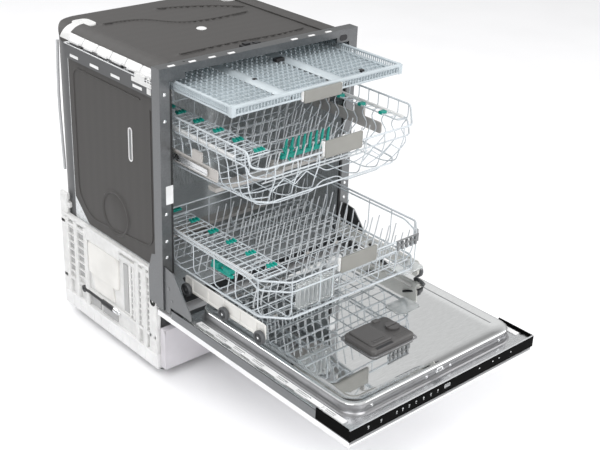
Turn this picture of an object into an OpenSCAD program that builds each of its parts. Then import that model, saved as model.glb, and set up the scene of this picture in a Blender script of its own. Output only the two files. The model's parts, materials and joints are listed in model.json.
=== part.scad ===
// Built-in dishwasher with its door open and both baskets and the cutlery tray pulled out.
// All pieces are drawn from the front plane of the cabinet frame, in millimetres:
// X to the right, Y into the machine, Z up from the floor. at_front() then moves them so that
// the middle of the whole object's footprint is the origin.

/* [Cabinet] */
// Width over the front frame
body_w = 598; // [560:1:720]
// Height of the front frame above the floor
body_h = 812; // [800:1:980]
// Depth of the tub behind the front plane
tub_d = 512; // [490:1:640]
// Radius of the tub's upright rear corners
tub_corner_r = 90; // [60:1:100]
// Radius of the tub's upper corners
tub_top_r = 40; // [20:1:50]
// Thickness of the tub's sheet
tub_wall = 2; // [1.5:0.1:3]
// Width of each post of the front frame
post_w = 27; // [20:1:33]
// Thickness of the damping mats
mat_t = 3; // [2:0.5:5]

/* [Base] */
// Height of the base walls' upper edge
base_top = 300; // [260:1:330]
// Height of the base tray's underside
base_z = 25; // [20:1:40]
// Radius of each foot's pad
foot_r = 20; // [14:1:26]
// Radius of each foot's stem
foot_stem_r = 6; // [4:0.5:8]

/* [Door] */
// Reach of the open door in front of the cabinet
door_reach = 643; // [600:1:660]
// Height of the open door's underside
door_z = 186; // [180:1:190]
// Height of the rim of the door's inner pan
pan_rim_z = 250; // [246:1:252]
// Half width of the door's inner pan
pan_half_w = 262; // [250:1:266]
// Radius of the pan's front corners
pan_corner_r = 42; // [20:1:60]
// Radius of the hinge pins
hinge_pin_r = 4; // [3:0.5:5]

/* [Lower basket] */
// Half width of both baskets over their wires
basket_half_w = 250; // [230:1:252]
// Distance that the lower basket stands out
lower_out = 345; // [300:1:360]
// Depth of the lower basket from front to back
lower_depth = 470; // [430:1:480]
// Height of the lower basket's floor wires
lower_floor_z = 302; // [298:1:310]
// Height of the lower basket's top rail
lower_rail_z = 405; // [380:1:420]
// Radius of the basket wheels
wheel_r = 16.5; // [14:0.5:16.5]

/* [Middle basket] */
// Distance that the middle basket stands out
middle_out = 275; // [240:1:300]
// Depth of the middle basket from front to back
middle_depth = 460; // [420:1:470]
// Height of the middle basket's floor wires
middle_floor_z = 543; // [530:1:560]
// Height of the middle basket's top rail
middle_rail_z = 691; // [670:1:705]

/* [Cutlery tray] */
// Distance that the cutlery tray stands out
tray_out = 200; // [160:1:230]
// Depth of the cutlery tray from front to back
tray_depth = 430; // [380:1:440]
// Half width of the cutlery tray
tray_half_w = 256; // [230:1:258]
// Height of the cutlery tray's grid
tray_z = 752; // [745:1:756]

/* [Wires] */
// Thickness of the thick frame wires
wire = 4; // [3:0.5:5]
// Thickness of the thin wires and tines
thin_wire = 3; // [2:0.5:3.5]
// Spacing of the upright wires in the basket walls
wire_pitch = 38; // [30:1:60]
// Running gap between sliding pieces
slide_gap = 0.5; // [0.4:0.1:1]
// Gap between a pin and its bore
pin_gap = 0.05; // [0.03:0.01:0.1]

/* [Hidden] */
$fn = 48;

steel = [0.62, 0.64, 0.65];
dark_steel = [0.42, 0.43, 0.44];
bitumen = [0.33, 0.32, 0.31];
white_plastic = [0.93, 0.93, 0.93];
cream_plastic = [0.93, 0.92, 0.88];
beige_plastic = [0.78, 0.75, 0.71];
black_plastic = [0.08, 0.08, 0.09];
coated_wire = [0.80, 0.83, 0.85];
handle_grey = [0.64, 0.62, 0.60];
pale_plastic = [0.78, 0.82, 0.85];
hose_grey = [0.75, 0.75, 0.75];
plinth_white = [0.90, 0.90, 0.93];
flap_grey = [0.36, 0.36, 0.37];
wheel_grey = [0.3, 0.31, 0.32];

half_w = body_w / 2;
// the tub
tub_outer = half_w - 14;
tub_inner = tub_outer - tub_wall;
tub_front = 6;
tub_bottom = 240;
tub_top = body_h - 15;
tub_floor_t = 4;
inner_back = tub_d - tub_corner_r;
rear_start = inner_back - 12;
sump_y = 250;
sump_r = 66;
// the front frame
frame_t = 6;
frame_sheet = 2.5;
frame_return = 30;
frame_bottom = 210;
opening_half = half_w - post_w;
opening_z = tub_bottom - tub_floor_t;
opening_top = tub_top - 3;
plate_z = body_h - 32;
plate_x = half_w - 69;
plate_hole_r = 7;
plate_hole_z = plate_z + 11;
gasket_t = 6;
clear_half = opening_half - gasket_t;
fixing_hole_r = 2.5;
fixing_span = 440;
// the gussets at the foot of the frame
gusset_t = 3;
gusset_x = half_w - 7;
gusset_top = 330;
gusset_shoulder = 325;
gusset_nose_y = -107;
gusset_nose_z = 239;
ear_t = 4;
ear_front = -60;
ear_top = 236;
// the base
base_outer = half_w - 2;
base_wall_t = 11;
base_front = 32;
base_back = tub_d - 42;
tray_rim_z = base_z + 40;
base_sheet = 6;
rear_wall_half = base_outer - base_wall_t - slide_gap;
foot_x = half_w - 49;
foot_pad_h = 10;
foot_stem_h = 50;
foot_front_y = 70;
foot_back_y = base_back - 40;
softener_y0 = 206;
softener_y1 = 346;
softener_z0 = 118;
softener_z1 = 262;
softener_w = 120;
sump_z = 150;
pump_x0 = 96;
pump_x1 = 190;
pump_z = 118;
pump_r = 42;
drain_x = -96;
drain_z = 96;
drain_body_r = 26;
spring_x = base_outer - 18;
spring_z = 104;
spring_r = 6;
spring_y0 = 205;
spring_y1 = 360;
rope_r = 1.5;
rope_y = 44;
rope_rise = 90;
bumper_r = 11;
bumper_z = 211;
kick_z0 = 30;
kick_z1 = 142;
kick_y = 12;
inlet_x = -150;
outlet_x = -90;
inlet_z = 150;
inlet_r = 13.2;
inlet_len = 14;
drain_r = 10.5;
mat_back = tub_d + mat_t;
mat_front = frame_return + 4;
mat_bottom = base_top + 5;
mat_top = tub_top - 55;
mat_side_back = rear_start - 6;
mat_cut = 58;
mat_slot_y = 131;
mat_slot_z = 551;
mat_slot_w = 12;
mat_slot_h = 82;
roof_half = tub_outer - tub_top_r - 4;
bracket_x = tub_outer - 85;
bracket_y = rear_start - 5;
roof_back = tub_d - tub_top_r - 4;
strip_z = tub_top - 60;
strip_h = 38;
strip_pitch = 90;
strip_t = 2;
strip_slot_y = frame_return + 41;
strip_slot_z = strip_z + 6;
strip_slot_w = 38;
strip_slot_h = 8;
foam_t = 12;
latch_x0 = -34;
latch_x1 = 26;
latch_d = 28;
// the whole footprint's middle lies halfway between the open door's edge and the rear mat
front_y = (door_reach - mat_back) / 2;
// the door
door_half = half_w - 3;
skin = 3;
panel_lip = 14;
frame_floor_z = door_z + panel_lip;
flange_z = pan_rim_z - 28;
door_back = -28;
panel_back = 28;
hinge_y = -42;
hinge_z = frame_floor_z + 8;
arm_x = half_w - 19.5;
arm_t = 4.5;
ear_x = arm_x + arm_t + slide_gap;
pan_back = -85;
pan_front = 31 - door_reach;
pan_rim = 16;
pan_dish = 10;
wrap_back = 103 - door_reach;
console_top = flange_z + 7;
edge_strip_x = pan_half_w + 9;
edge_strip_w = 14;
// the dispenser, measured from the door's middle line
disp_x = -12;
disp_y = 203 - door_reach;
disp_w = 136;
disp_d = 100;
disp_h = 14;
disp_corner = 12;
disp_z = pan_rim_z - pan_dish;
lid_w = 64;
lid_d = 78;
lid_x = disp_x - 26;
lid_hinge_y = disp_y + 42;
lid_z = disp_z + disp_h + slide_gap + 2;
cap_x = disp_x + 42;
cap_r = 17;
// the lower basket
lower_front = -lower_out;
lower_back = lower_front + lower_depth;
corner_cut = 50;
axle_r = 3;
wheel_gap = 2.5;
wheel_z = pan_rim_z + wheel_gap + wheel_r;
wheel_x = basket_half_w + 5;
wheel_w = 10;
carrier_t = 4;
carrier_x = wheel_x - wheel_w / 2 - slide_gap - carrier_t;
wheel_ys = [lower_front + 39, lower_front + 168, lower_front + 311];
tine_h = 80;
tine_pitch = 26;
tine_row_y = lower_front + 215;
tine_half = 140;
tine_x = 60;
tine_z = lower_floor_z + wire + 2;
shelf_w = 90;
shelf_pitch = 15;
pivot_r = 2;
// the middle basket
middle_front = -middle_out;
middle_back = middle_front + middle_depth;
middle_mid_z = middle_rail_z - 36;
rail_z = 600;
rail_h = 20;
rail_slide_h = 16;
rail_t = 4;
rail_x1 = basket_half_w + slide_gap;
rail_x2 = rail_x1 + rail_t + slide_gap;
rail_x3 = rail_x2 + rail_t + slide_gap;
rail_fixed_t = tub_inner - rail_x3;
// the tray
tray_front = -tray_out;
tray_back = tray_front + tray_depth;
tray_h = 26;
tray_runner_x = tray_half_w + slide_gap;
handle_w = 112;
handle_t = 6;
// filter and spray arms
filter_r = 96;
cup_r = 38;
cup_z = 170;
sprinkler_r = 55;
sprinkler_h = 12;
arm_hub_r = 22;
jet_pitch = 26;
jet_r = 2;
arm_h = 10;
lower_arm_z = tub_bottom + 14;
lower_arm_l = carrier_x - 12;
upper_arm_l = 190;
// the hose held behind the left rear corner
hose_r = 4;
hose_route = [[-265, 491, 752], [-266, 492, 715], [-267, 493, 670], [-268, 494, 620], [-268, 494, 570],
    [-267, 493, 515], [-266, 492, 460], [-265, 491, 402]];

// helpers

module at_front() translate([0, front_y, 0]) children();

module both_sides() {
    children();
    mirror([1, 0, 0]) children();
}

module block(low, high) translate(low) cube(high - low);

// a flat shape drawn in X and Z, given thickness along Y from y0 to y1
module upright(y0, y1) translate([0, y1, 0]) rotate([90, 0, 0]) linear_extrude(y1 - y0) children();

// a flat shape drawn in Y and Z, given thickness along X from x0 to x1
module sideways(x0, x1) translate([x0, 0, 0]) rotate([90, 0, 90]) linear_extrude(x1 - x0) children();

module rod_x(x0, x1, y, z, r) translate([x0, y, z]) rotate([0, 90, 0]) cylinder(r = r, h = x1 - x0);

module rod_y(x, y0, y1, z, r) translate([x, y1, z]) rotate([90, 0, 0]) cylinder(r = r, h = y1 - y0);

// an upright plan with its two rear corners rounded
module tub_plan(half, back, r) {
    difference() {
        translate([-half, 0]) square([2 * half, back]);
        both_corners(half, back, r) difference() {
            square(r + 1);
            circle(r = r);
        }
    }
}

module both_corners(half, back, r) for (side = [0, 1]) mirror([side, 0])
    translate([half - r, back - r]) children();

// the tub's outline seen from the front, with its upper corners rounded
module tub_section(half, top, r) {
    difference() {
        translate([-half, 0]) square([2 * half, top]);
        both_corners(half, top, r) difference() {
            square(r + 1);
            circle(r = r);
        }
    }
}

module tub_body(inset, front) intersection() {
    linear_extrude(tub_top - inset)
        tub_plan(tub_outer - inset, tub_d - inset, tub_corner_r - inset);
    upright(front, tub_d) tub_section(tub_outer - inset, tub_top - inset, tub_top_r - inset);
}

// bars across a rectangle w by h: upright bars at the given pitch, level bars at the given heights
module lattice(w, h, pitch, bar, levels, rail) {
    n = floor((w - bar) / pitch);
    step = (w - bar) / n;
    for (i = [0:n]) translate([i * step, 0]) square([bar, h]);
    for (z = levels) translate([0, z]) square([w, rail]);
}

// a wheel or pad: a disc round the X axis with a bore
module disc_x(x0, x1, y, z, r, bore) difference() {
    rod_x(x0, x1, y, z, r);
    rod_x(x0 - 1, x1 + 1, y, z, bore);
}

// tub and front frame

module tub_wrapper() at_front() color(steel) intersection() {
    difference() {
        tub_body(0, tub_front);
        tub_body(tub_wall, 0);
    }
    block([-half_w, tub_front, tub_bottom], [half_w, rear_start, body_h]);
}

module tub_rear() at_front() color(steel) intersection() {
    difference() {
        tub_body(0, tub_front);
        tub_body(tub_wall, 0);
    }
    block([-half_w, rear_start, tub_bottom], [half_w, tub_d, body_h]);
}

module tub_floor() at_front() color(steel) difference() {
    translate([0, 0, tub_bottom - tub_floor_t]) linear_extrude(tub_floor_t)
        tub_plan(tub_outer, tub_d, tub_corner_r);
    block([-half_w, -1, 0], [half_w, tub_front, tub_bottom + 1]);
    translate([0, sump_y, 0]) cylinder(r = sump_r, h = body_h);
}

module front_frame() at_front() color(steel) difference() {
    union() {
        upright(0, frame_t) difference() {
            translate([-half_w, frame_bottom]) square([body_w, body_h - frame_bottom]);
            translate([-opening_half, opening_z]) square([2 * opening_half, plate_z - opening_z]);
            translate([-plate_x, opening_z]) square([2 * plate_x, opening_top - opening_z]);
            translate([(plate_x + opening_half) / 2, plate_hole_z]) scale([1.5, 1])
                circle(r = plate_hole_r);
        }
        both_sides() block([half_w - frame_sheet, frame_t - 1, frame_bottom], [half_w, frame_return, body_h]);
        block([-half_w, frame_t - 1, body_h - frame_sheet], [half_w, frame_return, body_h]);
    }
    both_sides() translate([fixing_span / 2, (frame_t + frame_return) / 2, tub_top])
        cylinder(r = fixing_hole_r, h = 2 * frame_return);
}

// side gussets at the foot of the frame, with an inner ear that carries the hinge pin
module hinge_brackets() at_front() color(steel) both_sides() {
    sideways(gusset_x, gusset_x + gusset_t) polygon([[0, frame_bottom], [0, gusset_top],
        [-34, gusset_shoulder], [gusset_nose_y, gusset_nose_z], [gusset_nose_y, flange_z + 6],
        [-24, flange_z + 6], [-24, frame_bottom]]);
    sideways(ear_x, ear_x + ear_t) polygon([[0, frame_floor_z + skin], [0, ear_top],
        [ear_front, ear_top], [ear_front, frame_floor_z + skin]]);
    block([ear_x + ear_t - 1, -22, flange_z + 7], [gusset_x + 1, 0, flange_z + 11]);
    rod_x(arm_x, ear_x + 1, hinge_y, hinge_z, hinge_pin_r);
}

module damping_mats() at_front() color(bitumen) {
    both_sides() sideways(tub_outer, tub_outer + mat_t) difference() {
        polygon([[mat_front, mat_bottom], [mat_side_back - mat_cut, mat_bottom],
            [mat_side_back, mat_bottom + mat_cut], [mat_side_back, mat_top], [mat_front, mat_top]]);
        translate([mat_slot_y, mat_slot_z]) square([mat_slot_w, mat_slot_h]);
    }
    translate([0, 0, tub_top]) linear_extrude(mat_t) difference() {
        polygon([[-roof_half, mat_front + 2], [roof_half, mat_front + 2], [roof_half, bracket_y - 3],
            [bracket_x - 2, bracket_y - 3], [bracket_x - 2, roof_back], [-bracket_x + 2, roof_back],
            [-bracket_x + 2, bracket_y - 3], [-roof_half, bracket_y - 3]]);
        translate([latch_x0 - 4, 0]) square([latch_x1 - latch_x0 + 8, frame_return + latch_d + 4]);
    }
    upright(tub_d, mat_back) translate([-tub_outer + tub_corner_r + 6, mat_bottom])
        square([2 * (tub_outer - tub_corner_r - 6), mat_top - mat_bottom]);
}

module side_strips() at_front() color(steel) both_sides()
    sideways(half_w - frame_sheet - strip_t, half_w - frame_sheet) difference() {
        translate([frame_return, strip_z]) square([rear_start - 50, strip_h]);
        for (i = [0:3]) translate([strip_slot_y + i * strip_pitch, strip_slot_z])
            square([strip_slot_w, strip_slot_h]);
    }

// quarter-round blocks over the tub's upper corners, cut off level above the side strips
module corner_insulation() at_front() color(white_plastic) both_sides()
    upright(frame_return + 2, rear_start - 12) intersection() {
        translate([tub_outer - tub_top_r, tub_top - tub_top_r]) difference() {
            circle(r = tub_top_r + foam_t);
            circle(r = tub_top_r + slide_gap);
        }
        translate([tub_outer - tub_top_r, strip_z + strip_h + 1]) square(tub_top_r + 20);
    }

module rear_brackets() at_front() color(white_plastic) both_sides() difference() {
    block([bracket_x, bracket_y, tub_top], [bracket_x + 40, bracket_y + 50, tub_top + 6]);
    translate([bracket_x + 20, bracket_y + 25, tub_top - 1]) cylinder(r = 7, h = 10);
}

module door_gasket() at_front() color(black_plastic) both_sides()
    block([clear_half, 0, opening_z], [opening_half, frame_t, plate_z - 20]);

module door_latch() at_front() color(black_plastic) {
    block([latch_x0, frame_return, tub_top], [latch_x1, frame_return + latch_d, tub_top + 12]);
    block([-18, frame_return - 12, tub_top], [10, frame_return, tub_top + 8]);
}

// base

module base_tray() at_front() color(white_plastic) difference() {
    block([-base_outer, base_front, base_z], [base_outer, base_back, tray_rim_z]);
    block([-base_outer + base_sheet, base_front + base_sheet, base_z + base_sheet],
        [base_outer - base_sheet, base_back - base_sheet, body_h]);
    for (y = [foot_front_y, foot_back_y]) both_sides() translate([foot_x, y, 0])
        cylinder(r = foot_stem_r + slide_gap, h = body_h);
}

module base_walls() at_front() color(white_plastic) {
    both_sides() sideways(base_outer - base_wall_t, base_outer) difference() {
        translate([base_front, tray_rim_z]) square([base_back - base_front, base_top - tray_rim_z]);
        translate([base_front - 1, 186]) square([34, 50]);
        translate([200, 112]) square([152, 156]);
        translate([190, tray_rim_z + 8]) square([190, 34]);
        for (y = [84, 124]) translate([y, 120]) square([28, 140]);
        translate([380, 130]) square([52, 120]);
    }
    block([-rear_wall_half, base_back - base_wall_t, tray_rim_z],
        [rear_wall_half, base_back, tub_bottom - tub_floor_t - 6]);
}

module softener_unit() at_front() color(cream_plastic) {
    block([-base_outer + 2, softener_y0, softener_z0], [-base_outer + 9, softener_y1, softener_z1]);
    block([-base_outer + 9, softener_y0 + 6, softener_z0],
        [-base_outer + softener_w, softener_y1 - 6, tub_bottom - tub_floor_t - 4]);
}

module sump() at_front() color(dark_steel) translate([0, sump_y, 0]) difference() {
    translate([0, 0, sump_z]) cylinder(r = sump_r + base_sheet, h = tub_bottom - tub_floor_t - sump_z);
    translate([0, 0, sump_z + base_sheet]) cylinder(r = sump_r, h = tub_bottom);
}

module circulation_pump() at_front() color(black_plastic) {
    rod_x(pump_x0, pump_x1, sump_y, pump_z, pump_r);
    rod_x(pump_x1, pump_x1 + 26, sump_y, pump_z, 22);
    block([pump_x0 + 14, sump_y - 30, base_z + base_sheet], [pump_x1 - 14, sump_y + 30, pump_z - 28]);
}

module drain_pump() at_front() color(black_plastic) {
    rod_y(drain_x, sump_y + 84, sump_y + 146, drain_z, drain_body_r);
    block([drain_x - 16, sump_y + 92, base_z + base_sheet], [drain_x + 16, sump_y + 136, drain_z - 20]);
}

module door_springs() at_front() color(black_plastic) both_sides() {
    rod_y(spring_x, spring_y0, spring_y1, spring_z, spring_r);
    rod_y(spring_x, spring_y1, base_back - base_wall_t, spring_z, spring_r / 2);
}

module side_bumpers() at_front() color(black_plastic) both_sides()
    disc_x(base_outer - 9, base_outer, base_front + 18, bumper_z, bumper_r, fixing_hole_r);

// each rope runs from its spring, round the pulley's level, up to the hinge ear
module door_ropes() at_front() color(white_plastic) both_sides() {
    rod_y(spring_x, rope_y, spring_y0, spring_z, rope_r);
    translate([spring_x, rope_y, spring_z]) {
        sphere(r = rope_r);
        cylinder(r = rope_r, h = rope_rise);
    }
}

module kick_plate() at_front() color(plinth_white) {
    block([-half_w + 11, kick_y, kick_z0], [half_w - 11, kick_y + skin, kick_z1]);
    both_sides() block([half_w - 60, kick_y + skin, 60], [half_w - 40, base_front, tray_rim_z - 1]);
}

module water_inlet() at_front() color(white_plastic) {
    rod_y(inlet_x, base_back, base_back + inlet_len, inlet_z, inlet_r);
    rod_y(outlet_x, base_back, base_back + inlet_len + 6, inlet_z, drain_r);
}

// a tube swept along the route's own points
function unit(v) = v / norm(v);
function heading(p, i) = unit(p[min(i + 1, len(p) - 1)] - p[max(i - 1, 0)]);
function ring_at(p, i, r, n) = let (t = heading(p, i), u = unit(cross(t, [1, 0, 0])), w = cross(t, u))
    [for (k = [0:n - 1]) p[i] + r * (cos(360 * k / n) * u + sin(360 * k / n) * w)];
module tube(p, r, n = 8) polyhedron(
    points = [for (i = [0:len(p) - 1]) each ring_at(p, i, r, n)],
    faces = concat([[for (k = [0:n - 1]) k]], [[for (k = [n - 1:-1:0]) (len(p) - 1) * n + k]],
        [for (i = [0:len(p) - 2], k = [0:n - 1])
            [i * n + k, (i + 1) * n + k, (i + 1) * n + (k + 1) % n, i * n + (k + 1) % n]]));

module rear_hose() at_front() color(hose_grey) tube(hose_route, hose_r);

module foot(x, y) at_front() color(dark_steel) translate([x, y, 0]) {
    cylinder(r = foot_r, h = foot_pad_h);
    translate([0, 0, foot_pad_h - 1]) cylinder(r = foot_stem_r, h = foot_stem_h);
}

module foot_left() foot(-foot_x, foot_front_y);

module foot_right() foot(foot_x, foot_front_y);

module rear_feet() {
    foot(-foot_x, foot_back_y);
    foot(foot_x, foot_back_y);
}

// inside the tub

module lower_runners() at_front() color(steel) both_sides()
    block([basket_half_w - 2, 10, tub_bottom], [basket_half_w + 12, inner_back, pan_rim_z]);

module telescopic_rails() at_front() color(steel) both_sides()
    block([rail_x3, 12, rail_z - rail_h / 2], [rail_x3 + rail_fixed_t, inner_back, rail_z + rail_h / 2]);

// the sliding middle members of both telescopic rails, half way out
module rail_slides() at_front() color(steel) both_sides()
    block([rail_x2, -middle_out / 2 + 20, rail_z - rail_slide_h / 2],
        [rail_x2 + rail_t, inner_back - middle_out / 2, rail_z + rail_slide_h / 2]);

module tray_rails() at_front() color(steel) both_sides() difference() {
    block([tray_runner_x, 12, tray_z - 12], [tub_inner, inner_back, tray_z + 4]);
    block([0, 0, tray_z - 6], [tray_runner_x + 14, tub_d, tray_z]);
}

module filter_plate() at_front() color(steel) translate([0, sump_y, tub_bottom]) difference() {
    cylinder(r = filter_r, h = 2);
    translate([0, 0, -1]) cylinder(r = cup_r + 3, h = 4);
}

module filter_cup() at_front() color(beige_plastic) translate([0, sump_y, 0]) difference() {
    translate([0, 0, cup_z]) cylinder(r = cup_r, h = tub_bottom + 6 - cup_z);
    translate([0, 0, cup_z + 3]) cylinder(r = cup_r - 3, h = 100);
}

module spray_arm(y, z, reach, hub_top) at_front() color(beige_plastic) translate([0, y, z]) difference() {
    union() {
        linear_extrude(arm_h) union() {
            circle(r = arm_hub_r);
            polygon([[-reach, -16], [-arm_hub_r, -20], [arm_hub_r, -14], [reach, -12],
                [reach, 16], [arm_hub_r, 20], [-arm_hub_r, 14], [-reach, 12]]);
        }
        translate([0, 0, arm_h - 1]) cylinder(r = 12, h = hub_top + 1);
    }
    for (side = [-1, 1], i = [1:5]) translate([side * (reach - i * jet_pitch), -side * 4, -1])
        cylinder(r = jet_r, h = 2 * arm_h);
}

module lower_spray_arm() spray_arm(sump_y, lower_arm_z, lower_arm_l, 4);

module ceiling_sprinkler() at_front() color(steel)
    translate([0, sump_y, tub_top - tub_wall - sprinkler_h]) {
        cylinder(r = sprinkler_r, h = sprinkler_h / 2);
        cylinder(r = 14, h = sprinkler_h - slide_gap);
    }

// door

module door_outer_panel() at_front() color(white_plastic) difference() {
    union() {
        block([-door_half, -door_reach + skin, door_z], [door_half, panel_back, door_z + 4]);
        both_sides()
            block([door_half - skin, -door_reach + skin, door_z + 3], [door_half, panel_back, frame_floor_z]);
        block([-door_half, panel_back - skin, door_z + 3], [door_half, panel_back, frame_floor_z]);
    }
    for (y = [-150, -550]) both_sides() translate([240, y, door_z - 1]) cylinder(r = fixing_hole_r, h = 20);
}

module door_frame() at_front() color(dark_steel) {
    block([-door_half, -door_reach + skin, frame_floor_z], [door_half, door_back, frame_floor_z + 2]);
    both_sides() block([door_half - skin, wrap_back, frame_floor_z + 1], [door_half, door_back, flange_z]);
}

module pan_plan(inset) {
    r = pan_corner_r - inset;
    half = pan_half_w - inset;
    front = pan_front + inset;
    difference() {
        translate([-half, front]) square([2 * half, pan_back - inset - front]);
        for (side = [0, 1]) mirror([side, 0]) translate([half - r, front + r]) mirror([0, 1]) difference() {
            square(r + 1);
            circle(r = r);
        }
    }
}

module door_liner() at_front() color(steel) {
    translate([0, 0, flange_z - 2]) linear_extrude(2) translate([-door_half + skin, -door_reach + skin])
        square([2 * (door_half - skin), door_reach - skin - 70]);
    difference() {
        translate([0, 0, flange_z - 1]) linear_extrude(pan_rim_z - flange_z + 1) pan_plan(0);
        translate([0, 0, pan_rim_z - pan_dish]) linear_extrude(pan_dish + 1) pan_plan(pan_rim);
        translate([0, 0, flange_z]) linear_extrude(pan_rim_z - pan_dish - flange_z - 2) pan_plan(2);
    }
    block([-14, pan_front - 10, flange_z - 1], [14, pan_front + 1, flange_z + 20]);
}

module door_edge_strips() at_front() color(white_plastic) both_sides()
    translate([edge_strip_x, 0, flange_z]) linear_extrude(2.5) difference() {
        translate([0, pan_front + 2]) square([edge_strip_w, pan_back - pan_front - 30]);
        for (i = [0:4]) translate([edge_strip_w / 2 - 2, pan_front + 40 + i * 90]) square([4, 46]);
    }

module control_panel() at_front() color(black_plastic) {
    block([-door_half, -door_reach, frame_floor_z], [door_half, -door_reach + skin, console_top]);
    both_sides() block([door_half - skin, -door_reach + skin - 1, frame_floor_z + 2],
        [door_half, wrap_back, console_top]);
}

module dispenser_body() at_front() color(wheel_grey) difference() {
    translate([disp_x, disp_y, disp_z]) linear_extrude(disp_h) difference() {
        square([disp_w, disp_d], center = true);
        for (sx = [-1, 1], sy = [-1, 1]) translate([sx * disp_w / 2, sy * disp_d / 2]) rotate(45)
            square(disp_corner, center = true);
    }
    block([lid_x - lid_w / 2 + 6, lid_hinge_y - lid_d + 8, disp_z + 3],
        [lid_x + lid_w / 2 - 6, lid_hinge_y - 14, disp_z + 30]);
}

module dispenser_lid() at_front() color(flap_grey) {
    block([lid_x - lid_w / 2, lid_hinge_y - lid_d, lid_z - pivot_r],
        [lid_x + lid_w / 2, lid_hinge_y, lid_z + pivot_r]);
    rod_x(lid_x - lid_w / 2, lid_x + lid_w / 2, lid_hinge_y, lid_z, pivot_r);
}

module rinse_aid_cap() at_front() color(flap_grey)
    translate([cap_x, disp_y, disp_z + disp_h + slide_gap]) difference() {
        cylinder(r = cap_r, h = 5);
        translate([-cap_r, -1.5, 3]) cube([2 * cap_r, 3, 5]);
    }

module hinge_arms() at_front() color(dark_steel) both_sides() difference() {
    block([arm_x, -150, frame_floor_z + 2], [arm_x + arm_t, hinge_y + 10, flange_z - 2]);
    rod_x(arm_x - 1, arm_x + arm_t + 1, hinge_y, hinge_z, hinge_pin_r + pin_gap);
}

// baskets

// four flat walls of wire; the front corners are cut across
module basket_walls(front, back, floor_z, side_top, front_top) at_front() color(coated_wire) {
    side_front = front + corner_cut + wire;
    end_half = basket_half_w - corner_cut - wire;
    z0 = floor_z + wire;
    side_h = side_top - z0;
    front_h = front_top - z0;
    both_sides() sideways(basket_half_w - wire, basket_half_w) translate([side_front, z0])
        lattice(back - side_front, side_h, wire_pitch, thin_wire, [0, side_h / 2, side_h - wire], wire);
    upright(front, front + wire) translate([-end_half, z0])
        lattice(2 * end_half, front_h, wire_pitch, thin_wire, [0, front_h - 25, front_h - wire], wire);
    upright(back - wire, back) translate([-basket_half_w + wire + 1, z0])
        lattice(2 * (basket_half_w - wire - 1), side_h, wire_pitch, thin_wire, [0, side_h - wire], wire);
    both_sides() translate([end_half + 3, front + 3, 0]) rotate(45) upright(0, wire) translate([0, z0])
        lattice(corner_cut * sqrt(2) - wire, front_h, wire_pitch, thin_wire, [0, front_h - wire], wire);
}

module basket_floor(front, back, floor_z) at_front() color(coated_wire) translate([0, 0, floor_z])
    linear_extrude(wire) intersection() {
        translate([-basket_half_w, front]) union() {
            lattice(2 * basket_half_w, back - front, wire_pitch, thin_wire, [0, back - front - wire], wire);
            for (i = [1:9]) translate([0, i * (back - front) / 10])
                square([2 * basket_half_w, thin_wire]);
        }
        polygon([[-basket_half_w, back], [-basket_half_w, front + corner_cut],
            [-basket_half_w + corner_cut, front], [basket_half_w - corner_cut, front],
            [basket_half_w, front + corner_cut], [basket_half_w, back]]);
    }

module basket_handle(front, z0, z1) at_front() color(handle_grey)
    block([-handle_w / 2, front - handle_t, z0], [handle_w / 2, front, z1]);

module lower_basket_walls()
    basket_walls(lower_front, lower_back, lower_floor_z, lower_rail_z, lower_rail_z);

module lower_basket_floor() basket_floor(lower_front, lower_back, lower_floor_z);

module lower_basket_handle() basket_handle(lower_front, lower_rail_z - 22, lower_rail_z + 16);

module wheel_carriers() at_front() color(beige_plastic) both_sides() {
    sideways(carrier_x, carrier_x + carrier_t) polygon([[wheel_ys[0] - 12, lower_floor_z],
        [wheel_ys[0] - 12, wheel_z - 6], [wheel_ys[0] + 12, wheel_z - 10], [wheel_ys[2] + 14, wheel_z - 10],
        [wheel_ys[2] + 14, lower_floor_z]]);
    for (y = wheel_ys) rod_x(carrier_x + 1, wheel_x + wheel_w / 2 + 1, y, wheel_z, axle_r);
}

module wheel_pair(y) at_front() color(wheel_grey) both_sides()
    disc_x(wheel_x - wheel_w / 2, wheel_x + wheel_w / 2, y, wheel_z, wheel_r, axle_r + pin_gap);

module front_wheels() wheel_pair(wheel_ys[0]);

module middle_wheels() wheel_pair(wheel_ys[1]);

module rear_wheels() wheel_pair(wheel_ys[2]);

module tine_row() at_front() color(coated_wire) {
    upright(tine_row_y, tine_row_y + thin_wire) translate([tine_x - tine_half, tine_z])
        lattice(2 * tine_half, tine_h, tine_pitch, thin_wire, [0], wire);
    rod_x(tine_x - tine_half, tine_x + tine_half, tine_row_y + thin_wire / 2, tine_z + pivot_r, pivot_r);
}

// a wire shelf that folds up about the round wire along its outer edge
module cup_shelf(front, back, z) at_front() color(coated_wire) {
    x0 = -basket_half_w + wire + 4;
    y0 = front + corner_cut + 14;
    d = back - front - corner_cut - 40;
    translate([x0 + pivot_r - thin_wire / 2, y0, z]) linear_extrude(thin_wire)
        lattice(shelf_w, d, shelf_pitch, thin_wire, [for (i = [0:6]) 60 * i], thin_wire);
    rod_y(x0 + pivot_r, y0, y0 + d, z + thin_wire / 2, pivot_r);
}

module lower_cup_shelf() cup_shelf(lower_front, lower_back, lower_rail_z - 12);

module middle_basket_walls()
    basket_walls(middle_front, middle_back, middle_floor_z, middle_rail_z, middle_mid_z);

module middle_basket_floor() basket_floor(middle_front, middle_back, middle_floor_z);

module middle_basket_handle() basket_handle(middle_front, middle_mid_z - 16, middle_mid_z + 24);

// the inner members of the telescopic rails, with their moulded covers
module basket_carriers() at_front() color(beige_plastic) both_sides()
    block([rail_x1, middle_front + 125, rail_z - 15], [rail_x1 + rail_t, middle_back - 15, rail_z + 14]);

module middle_cup_shelf() cup_shelf(middle_front, middle_back, middle_mid_z);

module upper_spray_arm() spray_arm(middle_front + middle_depth / 2, middle_floor_z - 30, upper_arm_l, 16);

// cutlery tray

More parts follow.
